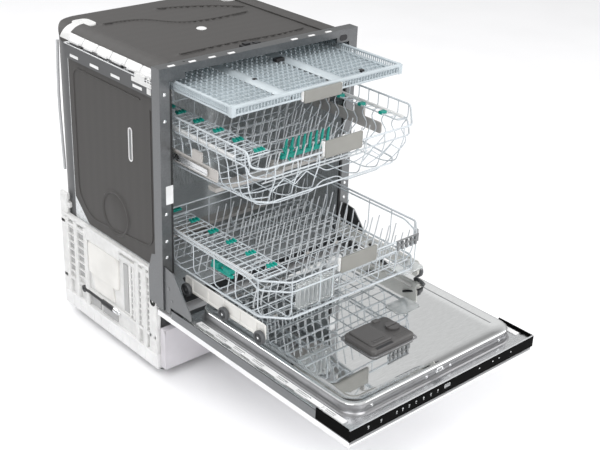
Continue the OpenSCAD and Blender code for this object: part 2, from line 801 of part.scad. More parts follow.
module cutlery_tray() at_front() color(pale_plastic) {
    translate([-tray_half_w, tray_front, tray_z]) linear_extrude(3)
        lattice(2 * tray_half_w, tray_depth, 16, wire, [for (i = [0:12]) i * (tray_depth - 6) / 12], 6);
    both_sides() block([tray_half_w - 3, tray_front, tray_z + 2], [tray_half_w, tray_back, tray_z + tray_h]);
    for (y = [tray_front, tray_back - 3])
        block([-tray_half_w, y, tray_z + 2], [tray_half_w, y + 3, tray_z + tray_h]);
}

module cutlery_tray_handle() basket_handle(tray_front, tray_z - 8, tray_z + 20);

tub_wrapper();
tub_rear();
tub_floor();
front_frame();
hinge_brackets();
damping_mats();
side_strips();
corner_insulation();
rear_brackets();
door_gasket();
base_tray();
base_walls();
softener_unit();
sump();
circulation_pump();
drain_pump();
door_springs();
door_ropes();
side_bumpers();
kick_plate();
door_latch();
lower_runners();
telescopic_rails();
tray_rails();
filter_plate();
filter_cup();
water_inlet();
rear_hose();
foot_left();
foot_right();
rear_feet();
lower_spray_arm();
ceiling_sprinkler();
rail_slides();
door_outer_panel();
door_frame();
door_liner();
door_edge_strips();
control_panel();
dispenser_body();
dispenser_lid();
rinse_aid_cap();
hinge_arms();
lower_basket_walls();
lower_basket_floor();
lower_basket_handle();
wheel_carriers();
front_wheels();
middle_wheels();
rear_wheels();
lower_cup_shelf();
tine_row();
middle_basket_walls();
middle_basket_floor();
middle_basket_handle();
basket_carriers();
middle_cup_shelf();
upper_spray_arm();
cutlery_tray();
cutlery_tray_handle();
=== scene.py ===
import json
import math
import bpy
import bmesh
import numpy as np
from mathutils import Matrix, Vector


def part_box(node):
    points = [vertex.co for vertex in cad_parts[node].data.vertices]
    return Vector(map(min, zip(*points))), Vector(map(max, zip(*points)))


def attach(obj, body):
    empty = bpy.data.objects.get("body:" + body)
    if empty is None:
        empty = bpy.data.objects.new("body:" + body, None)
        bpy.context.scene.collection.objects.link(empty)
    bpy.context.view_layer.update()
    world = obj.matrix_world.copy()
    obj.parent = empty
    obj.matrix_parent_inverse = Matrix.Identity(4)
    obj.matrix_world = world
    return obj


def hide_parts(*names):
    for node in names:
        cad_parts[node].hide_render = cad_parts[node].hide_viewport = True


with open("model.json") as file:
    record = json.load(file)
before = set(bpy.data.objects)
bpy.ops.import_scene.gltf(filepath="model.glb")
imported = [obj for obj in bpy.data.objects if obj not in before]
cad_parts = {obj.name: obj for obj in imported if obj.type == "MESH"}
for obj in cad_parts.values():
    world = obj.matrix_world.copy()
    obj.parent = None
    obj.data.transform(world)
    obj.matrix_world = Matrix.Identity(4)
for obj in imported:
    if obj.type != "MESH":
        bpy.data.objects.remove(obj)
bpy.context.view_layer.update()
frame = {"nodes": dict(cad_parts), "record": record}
print("frame loaded:", len(frame["nodes"]), "nodes")

# All pieces are worked out in millimetres from the cabinet's front plane:
# x to the right, y into the machine, z up from the floor.
mm = 0.001
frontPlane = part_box("front_frame")[0][1] / mm


def span(node):  # lowest and highest corner of a CAD node, in millimetres from the front plane
    low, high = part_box(node)
    shift = np.array([0.0, frontPlane, 0.0])
    return np.array(low) / mm - shift, np.array(high) / mm - shift


def toFrame(points):  # metres = (millimetres + the front plane's place) / 1000
    return (np.asarray(points, float) + [0.0, frontPlane, 0.0]) * mm


def merge(*parts):
    # several (points, faces) shapes as one; a part's face indices are shifted by the points before it
    points, faces, start = [], [], 0
    for p, fs in parts:
        points.append(np.asarray(p, float))
        faces += [np.asarray(f) + start for f in fs]
        start += len(p)
    return np.concatenate(points), faces


def tubes(paths, radius, sides=8):
    # point = path point + radius * (cos a * u + sin a * w), with u and w square to the path's heading
    p = np.asarray(paths, float)
    p = p[None] if p.ndim == 2 else p
    count, steps = p.shape[:2]
    heading = np.gradient(p, axis=1)
    heading /= np.linalg.norm(heading, axis=2, keepdims=True)
    u = np.cross(heading, [0.31, 0.57, 0.76])  # a slanted direction that no path here runs along
    u /= np.linalg.norm(u, axis=2, keepdims=True)
    w = np.cross(heading, u)
    a = np.arange(sides) * 2 * math.pi / sides
    around = np.cos(a)[:, None] * u[:, :, None] + np.sin(a)[:, None] * w[:, :, None]
    ring = p[:, :, None] + radius * around
    i = np.arange(count * steps * sides).reshape(count, steps, sides)
    after = np.roll(i, -1, axis=2)
    quads = np.stack([i[:, :-1], after[:, :-1], after[:, 1:], i[:, 1:]], axis=-1).reshape(-1, 4)
    return ring.reshape(-1, 3), [quads, i[:, 0, ::-1], i[:, -1]]


def fillet(points, radius, steps=5):
    # each corner b becomes the curve (1-s)^2 * before + 2s(1-s) * b + s^2 * after
    p = np.asarray(points, float)
    s = np.linspace(0, 1, steps)[:, None]
    out = [p[:1]]
    for a, b, c in zip(p[:-2], p[1:-1], p[2:]):
        back, on = a - b, c - b
        before = b + back * min(radius / np.linalg.norm(back), 0.5)
        after = b + on * min(radius / np.linalg.norm(on), 0.5)
        out.append((1 - s) ** 2 * before + 2 * s * (1 - s) * b + s ** 2 * after)
    return np.concatenate(out + [p[-1:]])


def repeated(path, axis, values):  # the same path moved by each of the values along x, y or z
    offsets = np.zeros((len(values), 3))
    offsets[:, "xyz".index(axis)] = values
    return np.asarray(path, float)[None] + offsets[:, None]


def at(x, y, z):  # points from three coordinates; a single number is shared by all of them
    return np.stack(np.broadcast_arrays(x, y, z), axis=-1).astype(float)


def rods(starts, ends, radius, sides=8):  # straight tubes from each start to each end
    return tubes(np.stack([starts, ends], axis=1), radius, sides)


def blocks(lows, highs):
    # the eight corners of each box are low + (high - low) * (0 or 1 on each axis)
    low, high = (np.atleast_2d(np.asarray(side, float)) for side in (lows, highs))
    unit = np.array([[0, 0, 0], [1, 0, 0], [1, 1, 0], [0, 1, 0], [0, 0, 1], [1, 0, 1], [1, 1, 1], [0, 1, 1]])
    points = (low[:, None] + (high - low)[:, None] * unit).reshape(-1, 3)
    sides = np.array([[3, 2, 1, 0], [4, 5, 6, 7], [0, 1, 5, 4], [1, 2, 6, 5], [2, 3, 7, 6], [3, 0, 4, 7]])
    return points, [((np.arange(len(low)) * 8)[:, None, None] + sides).reshape(-1, 4)]


def bars(xs, ys, zs):  # boxes between the two x, two y and two z values, any of which may be a row of values
    x0, x1, y0, y1, z0, z1 = np.broadcast_arrays(*xs, *ys, *zs)
    return blocks(at(x0, y0, z0), at(x1, y1, z1))


def roundedOutline(x0, x1, y0, y1, radius, steps=6):
    # a rectangle whose corners are quarter circles: centre + radius * (cos a, sin a)
    a = np.linspace(0, math.pi / 2, steps)
    corners = [((x1, y1), 0), ((x0, y1), 1), ((x0, y0), 2), ((x1, y0), 3)]
    out = []
    for (cx, cy), turn in corners:
        ix = cx - radius if turn in (0, 3) else cx + radius
        iy = cy - radius if turn in (0, 1) else cy + radius
        angle = a + turn * math.pi / 2
        out.append(np.c_[ix + radius * np.cos(angle), iy + radius * np.sin(angle)])
    return np.concatenate(out)


def shrunk(x0, x1, y0, y1, *steps, sides=6):
    # the same rounded rectangle once for each (inset, corner radius)
    return [roundedOutline(x0 + e, x1 - e, y0 + e, y1 - e, r, sides) for e, r in steps]


def place2d(outline, axis, depth):  # an outline in the plane square to the axis, at that depth
    o = np.asarray(outline, float)
    d = np.full(len(o), float(depth))
    return {"x": np.c_[d, o], "y": np.c_[o[:, 0], d, o[:, 1]], "z": np.c_[o, d]}[axis]


def loft(rings, capEnds=True):
    # ring k joined to ring k + 1 point by point; the first and last rings may be closed with a face
    r = np.asarray(rings, float)
    steps, n = r.shape[:2]
    i = np.arange(steps * n).reshape(steps, n)
    after = np.roll(i, -1, axis=1)
    quads = np.stack([i[:-1], after[:-1], after[1:], i[1:]], axis=-1).reshape(-1, 4)
    caps = [i[:1, ::-1], i[-1:]] if capEnds else []
    return r.reshape(-1, 3), [quads] + caps


def layers(axis, *levels, capEnds=True):  # a loft through (outline, depth) pairs along the axis
    return loft([place2d(outline, axis, depth) for outline, depth in levels], capEnds)


def prism(outline, axis, d0, d1):  # the outline pushed straight from one depth to the other
    return layers(axis, (outline, d0), (outline, d1))


def turned(profile, centre, axis="z", steps=32):
    # a closed profile of (radius, height) turned about the axis through the centre
    p = np.asarray(profile, float)
    a = np.arange(steps) * 2 * math.pi / steps
    flat = np.stack([p[:, :1] * np.cos(a), p[:, :1] * np.sin(a), np.repeat(p[:, 1:], steps, 1)], axis=-1)
    order = {"z": [0, 1, 2], "x": [2, 0, 1], "y": [1, 2, 0]}[axis]
    points = flat[:, :, order] + np.asarray(centre, float)
    i = np.arange(len(p) * steps).reshape(len(p), steps)
    after, down = np.roll(i, -1, axis=1), np.roll(i, -1, axis=0)
    quads = np.stack([i, after, np.roll(down, -1, axis=1), down], axis=-1).reshape(-1, 4)
    return points.reshape(-1, 3), [quads]


def mirrored(shape):  # x becomes -x, and each face's order is turned round so that it still points out
    points, faces = shape
    return points * [-1, 1, 1], [f[:, ::-1] for f in faces]


def bothSides(shape):  # the shape and its mirror image
    return merge(shape, mirrored(shape))


edges = {"sharpAngle": math.radians(40), "segments": 2, "mergeDistance": 1e-6}


def addPiece(name, shape, finish, body="cabinet", stands=(), smooth=True, bevel=0.0, fix=True):
    # a named mesh with one finish, riding on its body; it may stand for CAD nodes, which it then hides
    points, faces = shape
    mesh = bpy.data.meshes.new(name)
    mesh.from_pydata(toFrame(points).tolist(), [], [row for f in faces for row in f.tolist()])
    if fix:  # merge the doubles and point every face outwards
        work = bmesh.new()
        work.from_mesh(mesh)
        bmesh.ops.remove_doubles(work, verts=work.verts, dist=edges["mergeDistance"])
        bmesh.ops.recalc_face_normals(work, faces=work.faces)
        work.to_mesh(mesh)
        work.free()
    mesh.validate()
    mesh.materials.append(finishes[finish])
    piece = bpy.data.objects.new(name, mesh)
    bpy.context.scene.collection.objects.link(piece)
    if bevel:
        mod = piece.modifiers.new("edges", "BEVEL")
        mod.width = bevel * mm
        mod.segments = edges["segments"]
        mod.limit_method = "ANGLE"
        mod.angle_limit = edges["sharpAngle"]
    if smooth:
        mesh.shade_smooth()
        mesh.set_sharp_from_angle(angle=edges["sharpAngle"])
    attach(piece, body)
    if stands:
        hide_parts(*([stands] if isinstance(stands, str) else stands))
    return piece


print("shape tools ready")


def newMaterial(name):  # a named material with its nodes, its links and its main shader
    mat = bpy.data.materials.new(name)
    mat.use_nodes = True
    nodes, links = mat.node_tree.nodes, mat.node_tree.links
    return mat, nodes, links, nodes["Principled BSDF"]


def addNode(nodes, kind, **values):  # a shader node with the values set on its inputs or on itself
    node = nodes.new(kind)
    for key, value in values.items():
        if key in node.inputs:
            node.inputs[key].default_value = value
        else:
            setattr(node, key, value)
    return node


def noiseOn(nodes, links, stretch, scale, detail=4.0):  # noise over object coordinates, stretched per axis
    coord = addNode(nodes, "ShaderNodeTexCoord")
    mapping = addNode(nodes, "ShaderNodeMapping")
    mapping.inputs["Scale"].default_value = stretch
    noise = addNode(nodes, "ShaderNodeTexNoise", Scale=scale, Detail=detail)
    links.new(coord.outputs["Object"], mapping.inputs["Vector"])
    links.new(mapping.outputs["Vector"], noise.inputs["Vector"])
    return noise.outputs["Fac"]


def ramp(nodes, links, source, target, low, high, start=0.35, end=0.65):
    # target = low below start, high above end, and a straight blend of them in between
    node = addNode(nodes, "ShaderNodeValToRGB")
    for element, place, colour in zip(node.color_ramp.elements, (start, end), (low, high)):
        element.position = place
        element.color = (*colour, 1)
    links.new(source, node.inputs["Fac"])
    links.new(node.outputs["Color"], target)


def bumpFrom(nodes, links, source, shader, strength, distance):
    # height = source * distance, at that strength
    bump = addNode(nodes, "ShaderNodeBump", Strength=strength, Distance=distance)
    links.new(source, bump.inputs["Height"])
    links.new(bump.outputs["Normal"], shader.inputs["Normal"])


def shade(colour, factor):  # the colour times the factor, at most 1
    return tuple(min(1.0, c * factor) for c in colour)


def steelFinish(name, colour, rough, stretch, grain=0.06, metal=1.0, relief=0.08):
    # drawn or brushed sheet: noise stretched along the brushing moves the colour and the roughness
    mat, nodes, links, shader = newMaterial(name)
    shader.inputs["Metallic"].default_value = metal
    noise = noiseOn(nodes, links, stretch, 40.0, 6.0)
    ramp(nodes, links, noise, shader.inputs["Base Color"], shade(colour, 0.9), shade(colour, 1.06))
    ramp(nodes, links, noise, shader.inputs["Roughness"], (rough - grain,) * 3, (rough + grain,) * 3)
    if relief:
        bumpFrom(nodes, links, noise, shader, relief, 0.0004)
    return mat


def plasticFinish(name, colour, rough, grain=0.1, scale=900.0, coat=0.0, shine=0.5):
    # moulded plastic: a fine eggshell grain in the bump and a slow drift in the colour
    mat, nodes, links, shader = newMaterial(name)
    shader.inputs["Roughness"].default_value = rough
    shader.inputs["Coat Weight"].default_value = coat
    shader.inputs["Specular IOR Level"].default_value = shine
    drift = noiseOn(nodes, links, (1, 1, 1), 14.0, 2.0)
    ramp(nodes, links, drift, shader.inputs["Base Color"], shade(colour, 0.93), shade(colour, 1.04))
    bumpFrom(nodes, links, noiseOn(nodes, links, (1, 1, 1), scale, 2.0), shader, grain, 0.0003)
    return mat


def clearFinish(name, colour, rough, passes):
    # see-through plastic: light passes by the share given, and noise drifts the colour and the roughness
    mat, nodes, links, shader = newMaterial(name)
    shader.inputs["Transmission Weight"].default_value = passes
    shader.inputs["IOR"].default_value = 1.3
    fine = noiseOn(nodes, links, (1, 1, 1), 60.0, 3.0)
    ramp(nodes, links, fine, shader.inputs["Base Color"], shade(colour, 0.95), shade(colour, 1.03))
    ramp(nodes, links, fine, shader.inputs["Roughness"], (rough,) * 3, (rough + 0.12,) * 3)
    return mat


def bitumenFinish(name, colour):
    # sound-damping mat: faint bands left by the rolls, mixed into a leathery grain
    mat, nodes, links, shader = newMaterial(name)
    shader.inputs["Roughness"].default_value = 0.62
    coord = addNode(nodes, "ShaderNodeTexCoord")
    bands = addNode(nodes, "ShaderNodeTexWave", Scale=9.0, Distortion=1.2, Detail=2.0)
    bands.bands_direction = "Y"
    links.new(coord.outputs["Object"], bands.inputs["Vector"])
    grain = noiseOn(nodes, links, (1, 1, 1), 420.0, 4.0)
    mix = addNode(nodes, "ShaderNodeMix", data_type="FLOAT")
    mix.inputs["Factor"].default_value = 0.78
    links.new(bands.outputs["Fac"], mix.inputs["A"])
    links.new(grain, mix.inputs["B"])
    ramp(nodes, links, mix.outputs["Result"], shader.inputs["Base Color"], shade(colour, 0.93),
         shade(colour, 1.08), 0.2, 0.8)
    bumpFrom(nodes, links, grain, shader, 0.25, 0.0006)
    return mat


# steel: name, colour, roughness, stretch of the brushing, its grain, metallic share, relief
# plastic: name, colour, roughness, grain's depth, grain's scale, clear coat, shine
# clear: name, colour, roughness, share of light that passes
alongY, alongZ = (1.5, 60, 1.5), (60, 60, 1.5)
finishes = {
    "tubSteel": steelFinish("tub steel", (0.66, 0.68, 0.69), 0.3, alongZ, 0.06, 0.6),
    "frameSteel": steelFinish("galvanised frame steel", (0.20, 0.205, 0.21), 0.38, (6, 6, 6), 0.08),
    "doorSteel": steelFinish("polished door steel", (0.78, 0.79, 0.79), 0.035, alongY, 0.015, 1.0, 0),
    "shellSteel": steelFinish("outer shell steel", (0.13, 0.132, 0.135), 0.45, (30, 30, 1.5), 0.06, 0.85),
    # painted shade: a darker copy of the polished door steel, for the pan's upright wall, the dispenser
    # surround and the side beads
    "panSteelPaintedShade": steelFinish("pan steel with painted shade", (0.40, 0.40, 0.41), 0.36, alongY, 0.05, 1.0, 0),
    "flangeSteel": steelFinish("door flange steel", (0.66, 0.67, 0.68), 0.24, alongY, 0.05, 1.0, 0),
    "railSteel": steelFinish("bright rail steel", (0.70, 0.71, 0.72), 0.24, (2, 2, 60)),
    "chrome": steelFinish("chrome", (0.82, 0.83, 0.84), 0.1, (10, 10, 10), 0.02),
    "bitumen": bitumenFinish("bitumen mat", (0.055, 0.052, 0.050)),
    "white": plasticFinish("white moulding", (0.80, 0.80, 0.80), 0.42),
    "whiteGloss": plasticFinish("white gloss moulding", (0.82, 0.82, 0.82), 0.25, 0.04),
    "cream": plasticFinish("cream moulding", (0.76, 0.75, 0.72), 0.35),
    "beige": plasticFinish("beige moulding", (0.47, 0.45, 0.43), 0.42),
    "grey": plasticFinish("grey moulding", (0.20, 0.205, 0.21), 0.5),
    "black": plasticFinish("black moulding", (0.018, 0.018, 0.02), 0.45),
    "rubber": plasticFinish("black rubber", (0.02, 0.02, 0.02), 0.7, 0.3, 500.0),
    "plinth": plasticFinish("satin painted plinth", (0.66, 0.64, 0.67), 0.32, 0.05, 300.0),
    "panel": plasticFinish("white painted panel", (0.86, 0.86, 0.87), 0.3, 0.05, 300.0),
    "blackGlass": plasticFinish("black glossy console", (0.002, 0.002, 0.002), 0.45, 0.0, 200.0, 0.0, 0.02),
    "dispenser": plasticFinish("dispenser moulding", (0.078, 0.075, 0.074), 0.4, 0.2, 700.0),
    "wire": plasticFinish("coated wire", (0.54, 0.58, 0.61), 0.24, 0.05, 300.0, 0.3),
    "tine": plasticFinish("tine coating", (0.56, 0.585, 0.605), 0.28, 0.05, 300.0, 0.2),
    "handle": plasticFinish("handle plate", (0.26, 0.257, 0.238), 0.4, 0.12, 600.0),
    "wheel": plasticFinish("roller moulding", (0.075, 0.078, 0.082), 0.45),
    "hose": plasticFinish("grey hose", (0.55, 0.56, 0.57), 0.5, 0.2, 300.0),
    "tray": plasticFinish("tray moulding", (0.47, 0.525, 0.555), 0.28, 0.06, 500.0),
    "teal": plasticFinish("teal silicone", (0.0, 0.30, 0.24), 0.4, 0.1, 500.0),
    "mark": plasticFinish("printed mark", (0.85, 0.87, 0.88), 0.4, 0.02),
    "clear": clearFinish("clear fitting", (0.93, 0.95, 0.95), 0.08, 0.7),
    "milky": clearFinish("milky fitting", (0.93, 0.93, 0.92), 0.3, 0.25),
    # painted shade: a grey moulding that stands in for the shadow in the base's recesses
    "shade": plasticFinish("painted shade moulding", (0.42, 0.42, 0.42), 0.5),
}
print("finishes ready:", len(finishes))

slotFinish = {
    "brushed_tub_steel": "tubSteel", "frame_steel": "frameSteel", "polished_door_steel": "doorSteel",
    "bright_rail_steel": "railSteel", "bitumen_mat": "bitumen", "white_foam": "white",
    "white_plastic": "white",
    "cream_plastic": "cream", "beige_plastic": "beige", "grey_plastic": "grey", "black_plastic": "black",
    "gasket_rubber": "rubber", "painted_plinth": "plinth", "painted_panel": "panel",
    "black_glass": "blackGlass",
    "dispenser_grey": "dispenser", "coated_wire": "wire", "handle_grey": "handle", "wheel_grey": "wheel",
    "grey_hose": "hose", "tray_plastic": "tray"}
nodeFinish = {"tub_rear": "shellSteel", "side_strips": "shellSteel"}
for entry in frame["record"]["subparts"]:
    node = frame["nodes"][entry["node"]]
    finish = finishes[nodeFinish.get(entry["node"], slotFinish[entry["material_slot"]])]
    node.data.materials.clear()
    node.data.materials.append(finish)


wires = {"rail": 2.4, "thick": 2.0, "thin": 1.45, "tine": 1.6, "tineLean": 17, "tinePitch": 24.0}


def railLoop(half, front, back, radius, corner, sideZ, backZ):
    # a closed rail; corner lists a front corner's points as (inset from the side, from the front, height)
    side = [(half, back - 12, sideZ)] + [(half - a, front + b, z) for a, b, z in corner]
    path = [(0, back, backZ), (half - 12, back, backZ)] + side
    path += [(-x, y, z) for x, y, z in side[::-1]] + [(-half + 12, back, backZ), (0, back, backZ)]
    return tubes(fillet(path, 11, 6), radius, 10)


def prongRow(xs, ys, z, height, lean, radius):  # leaning prongs with rounded tips at every (x, y)
    gx, gy = (g.ravel() for g in np.meshgrid(xs, ys))
    steps = [(0, 0), (0.15, 0.3), (0.95, 0.96), (1, 1)]
    path = np.stack([at(gx, gy, z) + [lean * a, 0, height * h] for a, h in steps], axis=1)
    return tubes(path, radius, 7)


def basketBox(name):
    # half width, front, back and rail height of a basket's wire centres, and its floor's height
    low, high = span(name + "_walls")
    return high[0] - 2, low[1] + 2, high[1] - 2, high[2] - 2, span(name + "_floor")[0][2] + 2


lower = {
    "cut": 52, "endXs": np.array([-196, -112, -74, 74, 128, 196.0]), "floorPitch": 31.0,
    "tineSpan": (-88.0, 224.0),
    "tineRows": np.array([46, 92, 150, 262, 322, 384, 432]), "tineHeight": 82, "shortHeight": 46,
    "shortRows": np.array([96, 190, 300, 390]), "insertXs": np.arange(-150, -44, 13.0),
    "clipXs": np.arange(130, 226, 15.0), "holderYs": np.array([-170.0, -128.0])}


def lowerBasket():
    # four closed rails, hoops over the sides, hanging end wires, and a floor of crossing wires
    half, front, back, rail, floorZ = basketBox("lower_basket")
    cut, thin = lower["cut"], wires["thin"]
    corners = [(0, cut, rail), (cut, 0, rail)]
    second = [(0, cut + 34, rail - 9), (0, cut, rail - 24), (cut, 0, rail - 24)]
    bottom = [(2, cut, floorZ + 6), (cut, 2, floorZ + 6)]
    under = [(10, cut + 4, floorZ - 2), (cut + 2, 10, floorZ - 2)]
    parts = [railLoop(half, front, back, wires["rail"], corners, rail, rail),
             railLoop(half, front, back, wires["thick"], second, rail - 9, rail - 22),
             railLoop(half - 2, front + 2, back - 2, wires["rail"], bottom, floorZ + 8, floorZ + 8),
             railLoop(half - 8, front + 8, back - 8, thin, under, floorZ - 1, floorZ - 1)]
    side = fillet([(half, 0, rail), (half, 0, floorZ + 20), (half - 20, 0, floorZ)], 16)
    ys = np.linspace(front + cut + 2, back - 18, 6)
    parts.append(bothSides(tubes(repeated(side, "y", ys), thin)))
    for y, inward, xs in ((front, 22, lower["endXs"]), (back, -22, np.linspace(-210, 210, 7))):
        hanging = fillet([(0, y, rail), (0, y, floorZ + 18), (0, y + inward, floorZ + 2)], 16)
        parts.append(tubes(repeated(hanging, "x", xs), thin))
    across = [(-half, 0, floorZ + 8), (-half + 12, 0, floorZ), (half - 12, 0, floorZ), (half, 0, floorZ + 8)]
    rows = np.arange(front + 60, back - 10, lower["floorPitch"])
    parts.append(tubes(repeated(fillet(across, 10), "y", rows), thin))
    lengthways = [(0, front, floorZ + 8), (0, front + 14, floorZ + 3), (0, back - 14, floorZ + 3),
                  (0, back, floorZ + 8)]
    parts.append(tubes(repeated(fillet(lengthways, 10), "x", np.linspace(-190, 190, 9)), thin))
    addPiece("lower_basket_wires", merge(*parts), "wire", "lower_basket",
             ("lower_basket_walls", "lower_basket_floor"), fix=False)
    rowYs, foot = front + lower["tineRows"], floorZ + 3
    prongs = prongRow(np.arange(-82, 222, wires["tinePitch"]), rowYs, foot,
                      lower["tineHeight"], wires["tineLean"], wires["tine"])
    shorts = prongRow(np.arange(-226, -96, 22.0), front + lower["shortRows"], foot,
                      lower["shortHeight"], 10, 1.4)
    left, right = lower["tineSpan"]
    bases = rods(at(left, rowYs, foot), at(right, rowYs, foot), wires["thick"])
    addPiece("lower_fixed_tines", merge(prongs, shorts, bases), "tine", "lower_basket",
             fix=False)
    # ribbed insert behind the front rail, and the pale cradles on the floor
    xs = lower["insertXs"]
    fins = bars((xs, xs + 2.4), (front + 24, front + 40), (floorZ + 6, floorZ + 66))
    ledges = blocks([[-152, front + 26, floorZ + 4], [-152, front + 28, floorZ + 58]],
                    [[-42, front + 38, floorZ + 8], [-42, front + 36, floorZ + 62]])
    addPiece("lower_ribbed_insert", merge(fins, ledges), "clear", "lower_basket", bevel=0.8)
    cradle = roundedOutline(168, 244, front + 4, front + 62, 12)
    sheet = prism(cradle, "z", floorZ - 8, floorZ - 5)
    addPiece("corner_cradle", sheet, "clear", "lower_basket", bevel=0.8)
    # dark clip with hanging teeth on the right of the front rail; it follows the cut corner
    teeth = lower["clipXs"]
    ty = np.where(teeth > half - cut, front + (teeth - half + cut), front)
    clip = bars((teeth, teeth + 6), (ty - 4, ty + 3), (rail - 24, rail - 3))
    barYs, barZs = [front - 2, front - 1], [rail + 1.5, rail - 12]
    bar = rods(at(126, barYs, barZs), at(198, barYs, barZs), 2.4)
    addPiece("front_rail_clip", merge(clip, bar), "grey", "lower_basket", bevel=0.8)
    ys = lower["holderYs"]
    holders = bars((-half + 14, -half + 34), (ys, ys + 26), (floorZ + 54, floorZ + 68))
    strip = bars((-half + 16, -half + 24), (-176, -96), (floorZ + 46, floorZ + 54))
    addPiece("green_holders", merge(holders, strip), "teal", "lower_basket", bevel=2.0)


def wheelCarriers():
    # a plate with a sunk face on each side, with a hub, an axle end and a dark arm at every wheel
    (_, y0, z0), (_, y1, z1) = span("wheel_carriers")
    wheelLow, wheelHigh = span("front_wheels")
    tip = wheelHigh[0]
    outer = tip - 10.6
    face, inner = shrunk(y0, y1, z0 + 4, z1, (0, 6), (6, 4))
    plate = layers("x", (face, outer - 4), (face, outer - 1), (inner, outer - 1), (inner, outer - 2.2))
    z = (wheelLow[2] + wheelHigh[2]) / 2
    wheelsAt = np.array([sum(span(node)[k][1] for k in (0, 1)) / 2
                         for node in ("front_wheels", "middle_wheels", "rear_wheels")])
    hubProfile = [(0.4, outer - 6), (0.4, outer), (9, outer), (11, outer - 6)]
    axleProfile = [(0.3, outer - 0.5), (0.3, tip + 0.6), (2.9, tip + 0.3), (2.9, outer - 0.5)]
    hubs = [turned(hubProfile, (0, y, z), "x", 24) for y in wheelsAt]
    axles = [turned(axleProfile, (0, y, z), "x", 16) for y in wheelsAt]
    ys = np.linspace(y0 + 30, y1 - 30, 5)
    ribs = bars((outer - 3, outer - 0.2), (ys, ys + 3), (z0 + 8, z1 - 4))
    addPiece("roller_carriers", bothSides(merge(plate, *hubs, ribs)), "cream",
             "lower_basket", "wheel_carriers", bevel=0.8)
    addPiece("roller_axles", bothSides(merge(*axles)), "chrome", "lower_basket")
    dark = rods(at(outer - 4, wheelsAt, z), at(outer - 8, wheelsAt + 30, z + 14), 3.2, 10)
    addPiece("roller_arms", bothSides(dark), "black", "lower_basket")


def tineRow():  # prongs on one level wire, held by a pad at every fourth prong
    low, high = span("tine_row")
    y, z = high[1] - 1.5, low[2] + 2
    xs = np.arange(low[0] + 4, high[0] - 8, wires["tinePitch"])
    prongs = prongRow(xs, np.array([y]), z, high[2] - z - 1, 8, wires["tine"])
    base = rods([[low[0], y, z]], [[high[0], y, z]], wires["thick"])
    held = xs[1::4]
    pads = bars((held - 5, held + 5), (y - 2.5, y + 2), (z - 2, z + 5))
    addPiece("tine_row_prongs", merge(prongs, base), "tine", "tine_row", "tine_row", fix=False)
    addPiece("tine_row_bearings", pads, "beige", "tine_row", bevel=0.8)


shelf = {"wires": 20, "edge": 1.8, "cross": 1.15, "run": 1.3, "clipTeeth": (6, 15, 24)}


def cupShelf(node, clipYs, name):
    # a rounded edge wire, cross wires at an even pitch, two runs, clips and a hinge rail
    low, high = span(node)
    z = low[2] + 1.5
    x0, x1, y0, y1 = low[0] + 2, high[0] - 2, low[1] + 2, high[1] - 2
    middle = (x0, (y0 + y1) / 2, z)
    outline = [middle, (x0, y0, z), (x1, y0, z), (x1, y1, z), (x0, y1, z), middle]
    edge = tubes(fillet(outline, 10), shelf["edge"])
    ys = np.linspace(y0 + 12, y1 - 12, shelf["wires"])
    cross = rods(at(x0, ys, z), at(x1, ys, z), shelf["cross"])
    xs = np.linspace(x0 + 30, x1 - 14, 2)
    runs = rods(at(xs, y0, z), at(xs, y1, z), shelf["run"])
    addPiece(name + "_wires", merge(edge, cross, runs), "wire", node, node, fix=False)
    # each clip is a low saddle across two wires with a raised comb on it
    c = np.array(clipYs, float)
    base = bars((x1 - 30, x1 - 4), (c - 7, c + 1), (z - 1.5, z + 3))
    teeth = [bars((x1 - d - 5, x1 - d), (c - 9, c + 5), (z, z + 6)) for d in shelf["clipTeeth"]]
    addPiece(name + "_clips", merge(base, *teeth), "teal", node, bevel=1.0)
    rail = bars((x0 - 3, x0 + 5), (y0 + 20, y1 - 20), (z - 4, z + 4))
    addPiece(name + "_hinge_rail", rail, "milky", node, bevel=1.5)


middle = {
    "step": 36, "endXs": np.array([-196, -132, -70, 74, 134, 198.0]), "tineSpan": (-130.0, 204.0),
    "tineRows": np.array([120, 180, 240, 300, 360, 415]), "tineHeight": 66, "combX": (-36, 96), "combAt": 150,
    "fingers": 8, "fingerLean": 2.5, "shelfWidth": 34, "shelfWires": 20,
    "clipYs": np.array([-181.0, -109.0, -35.0, 38.0, 110.0])}


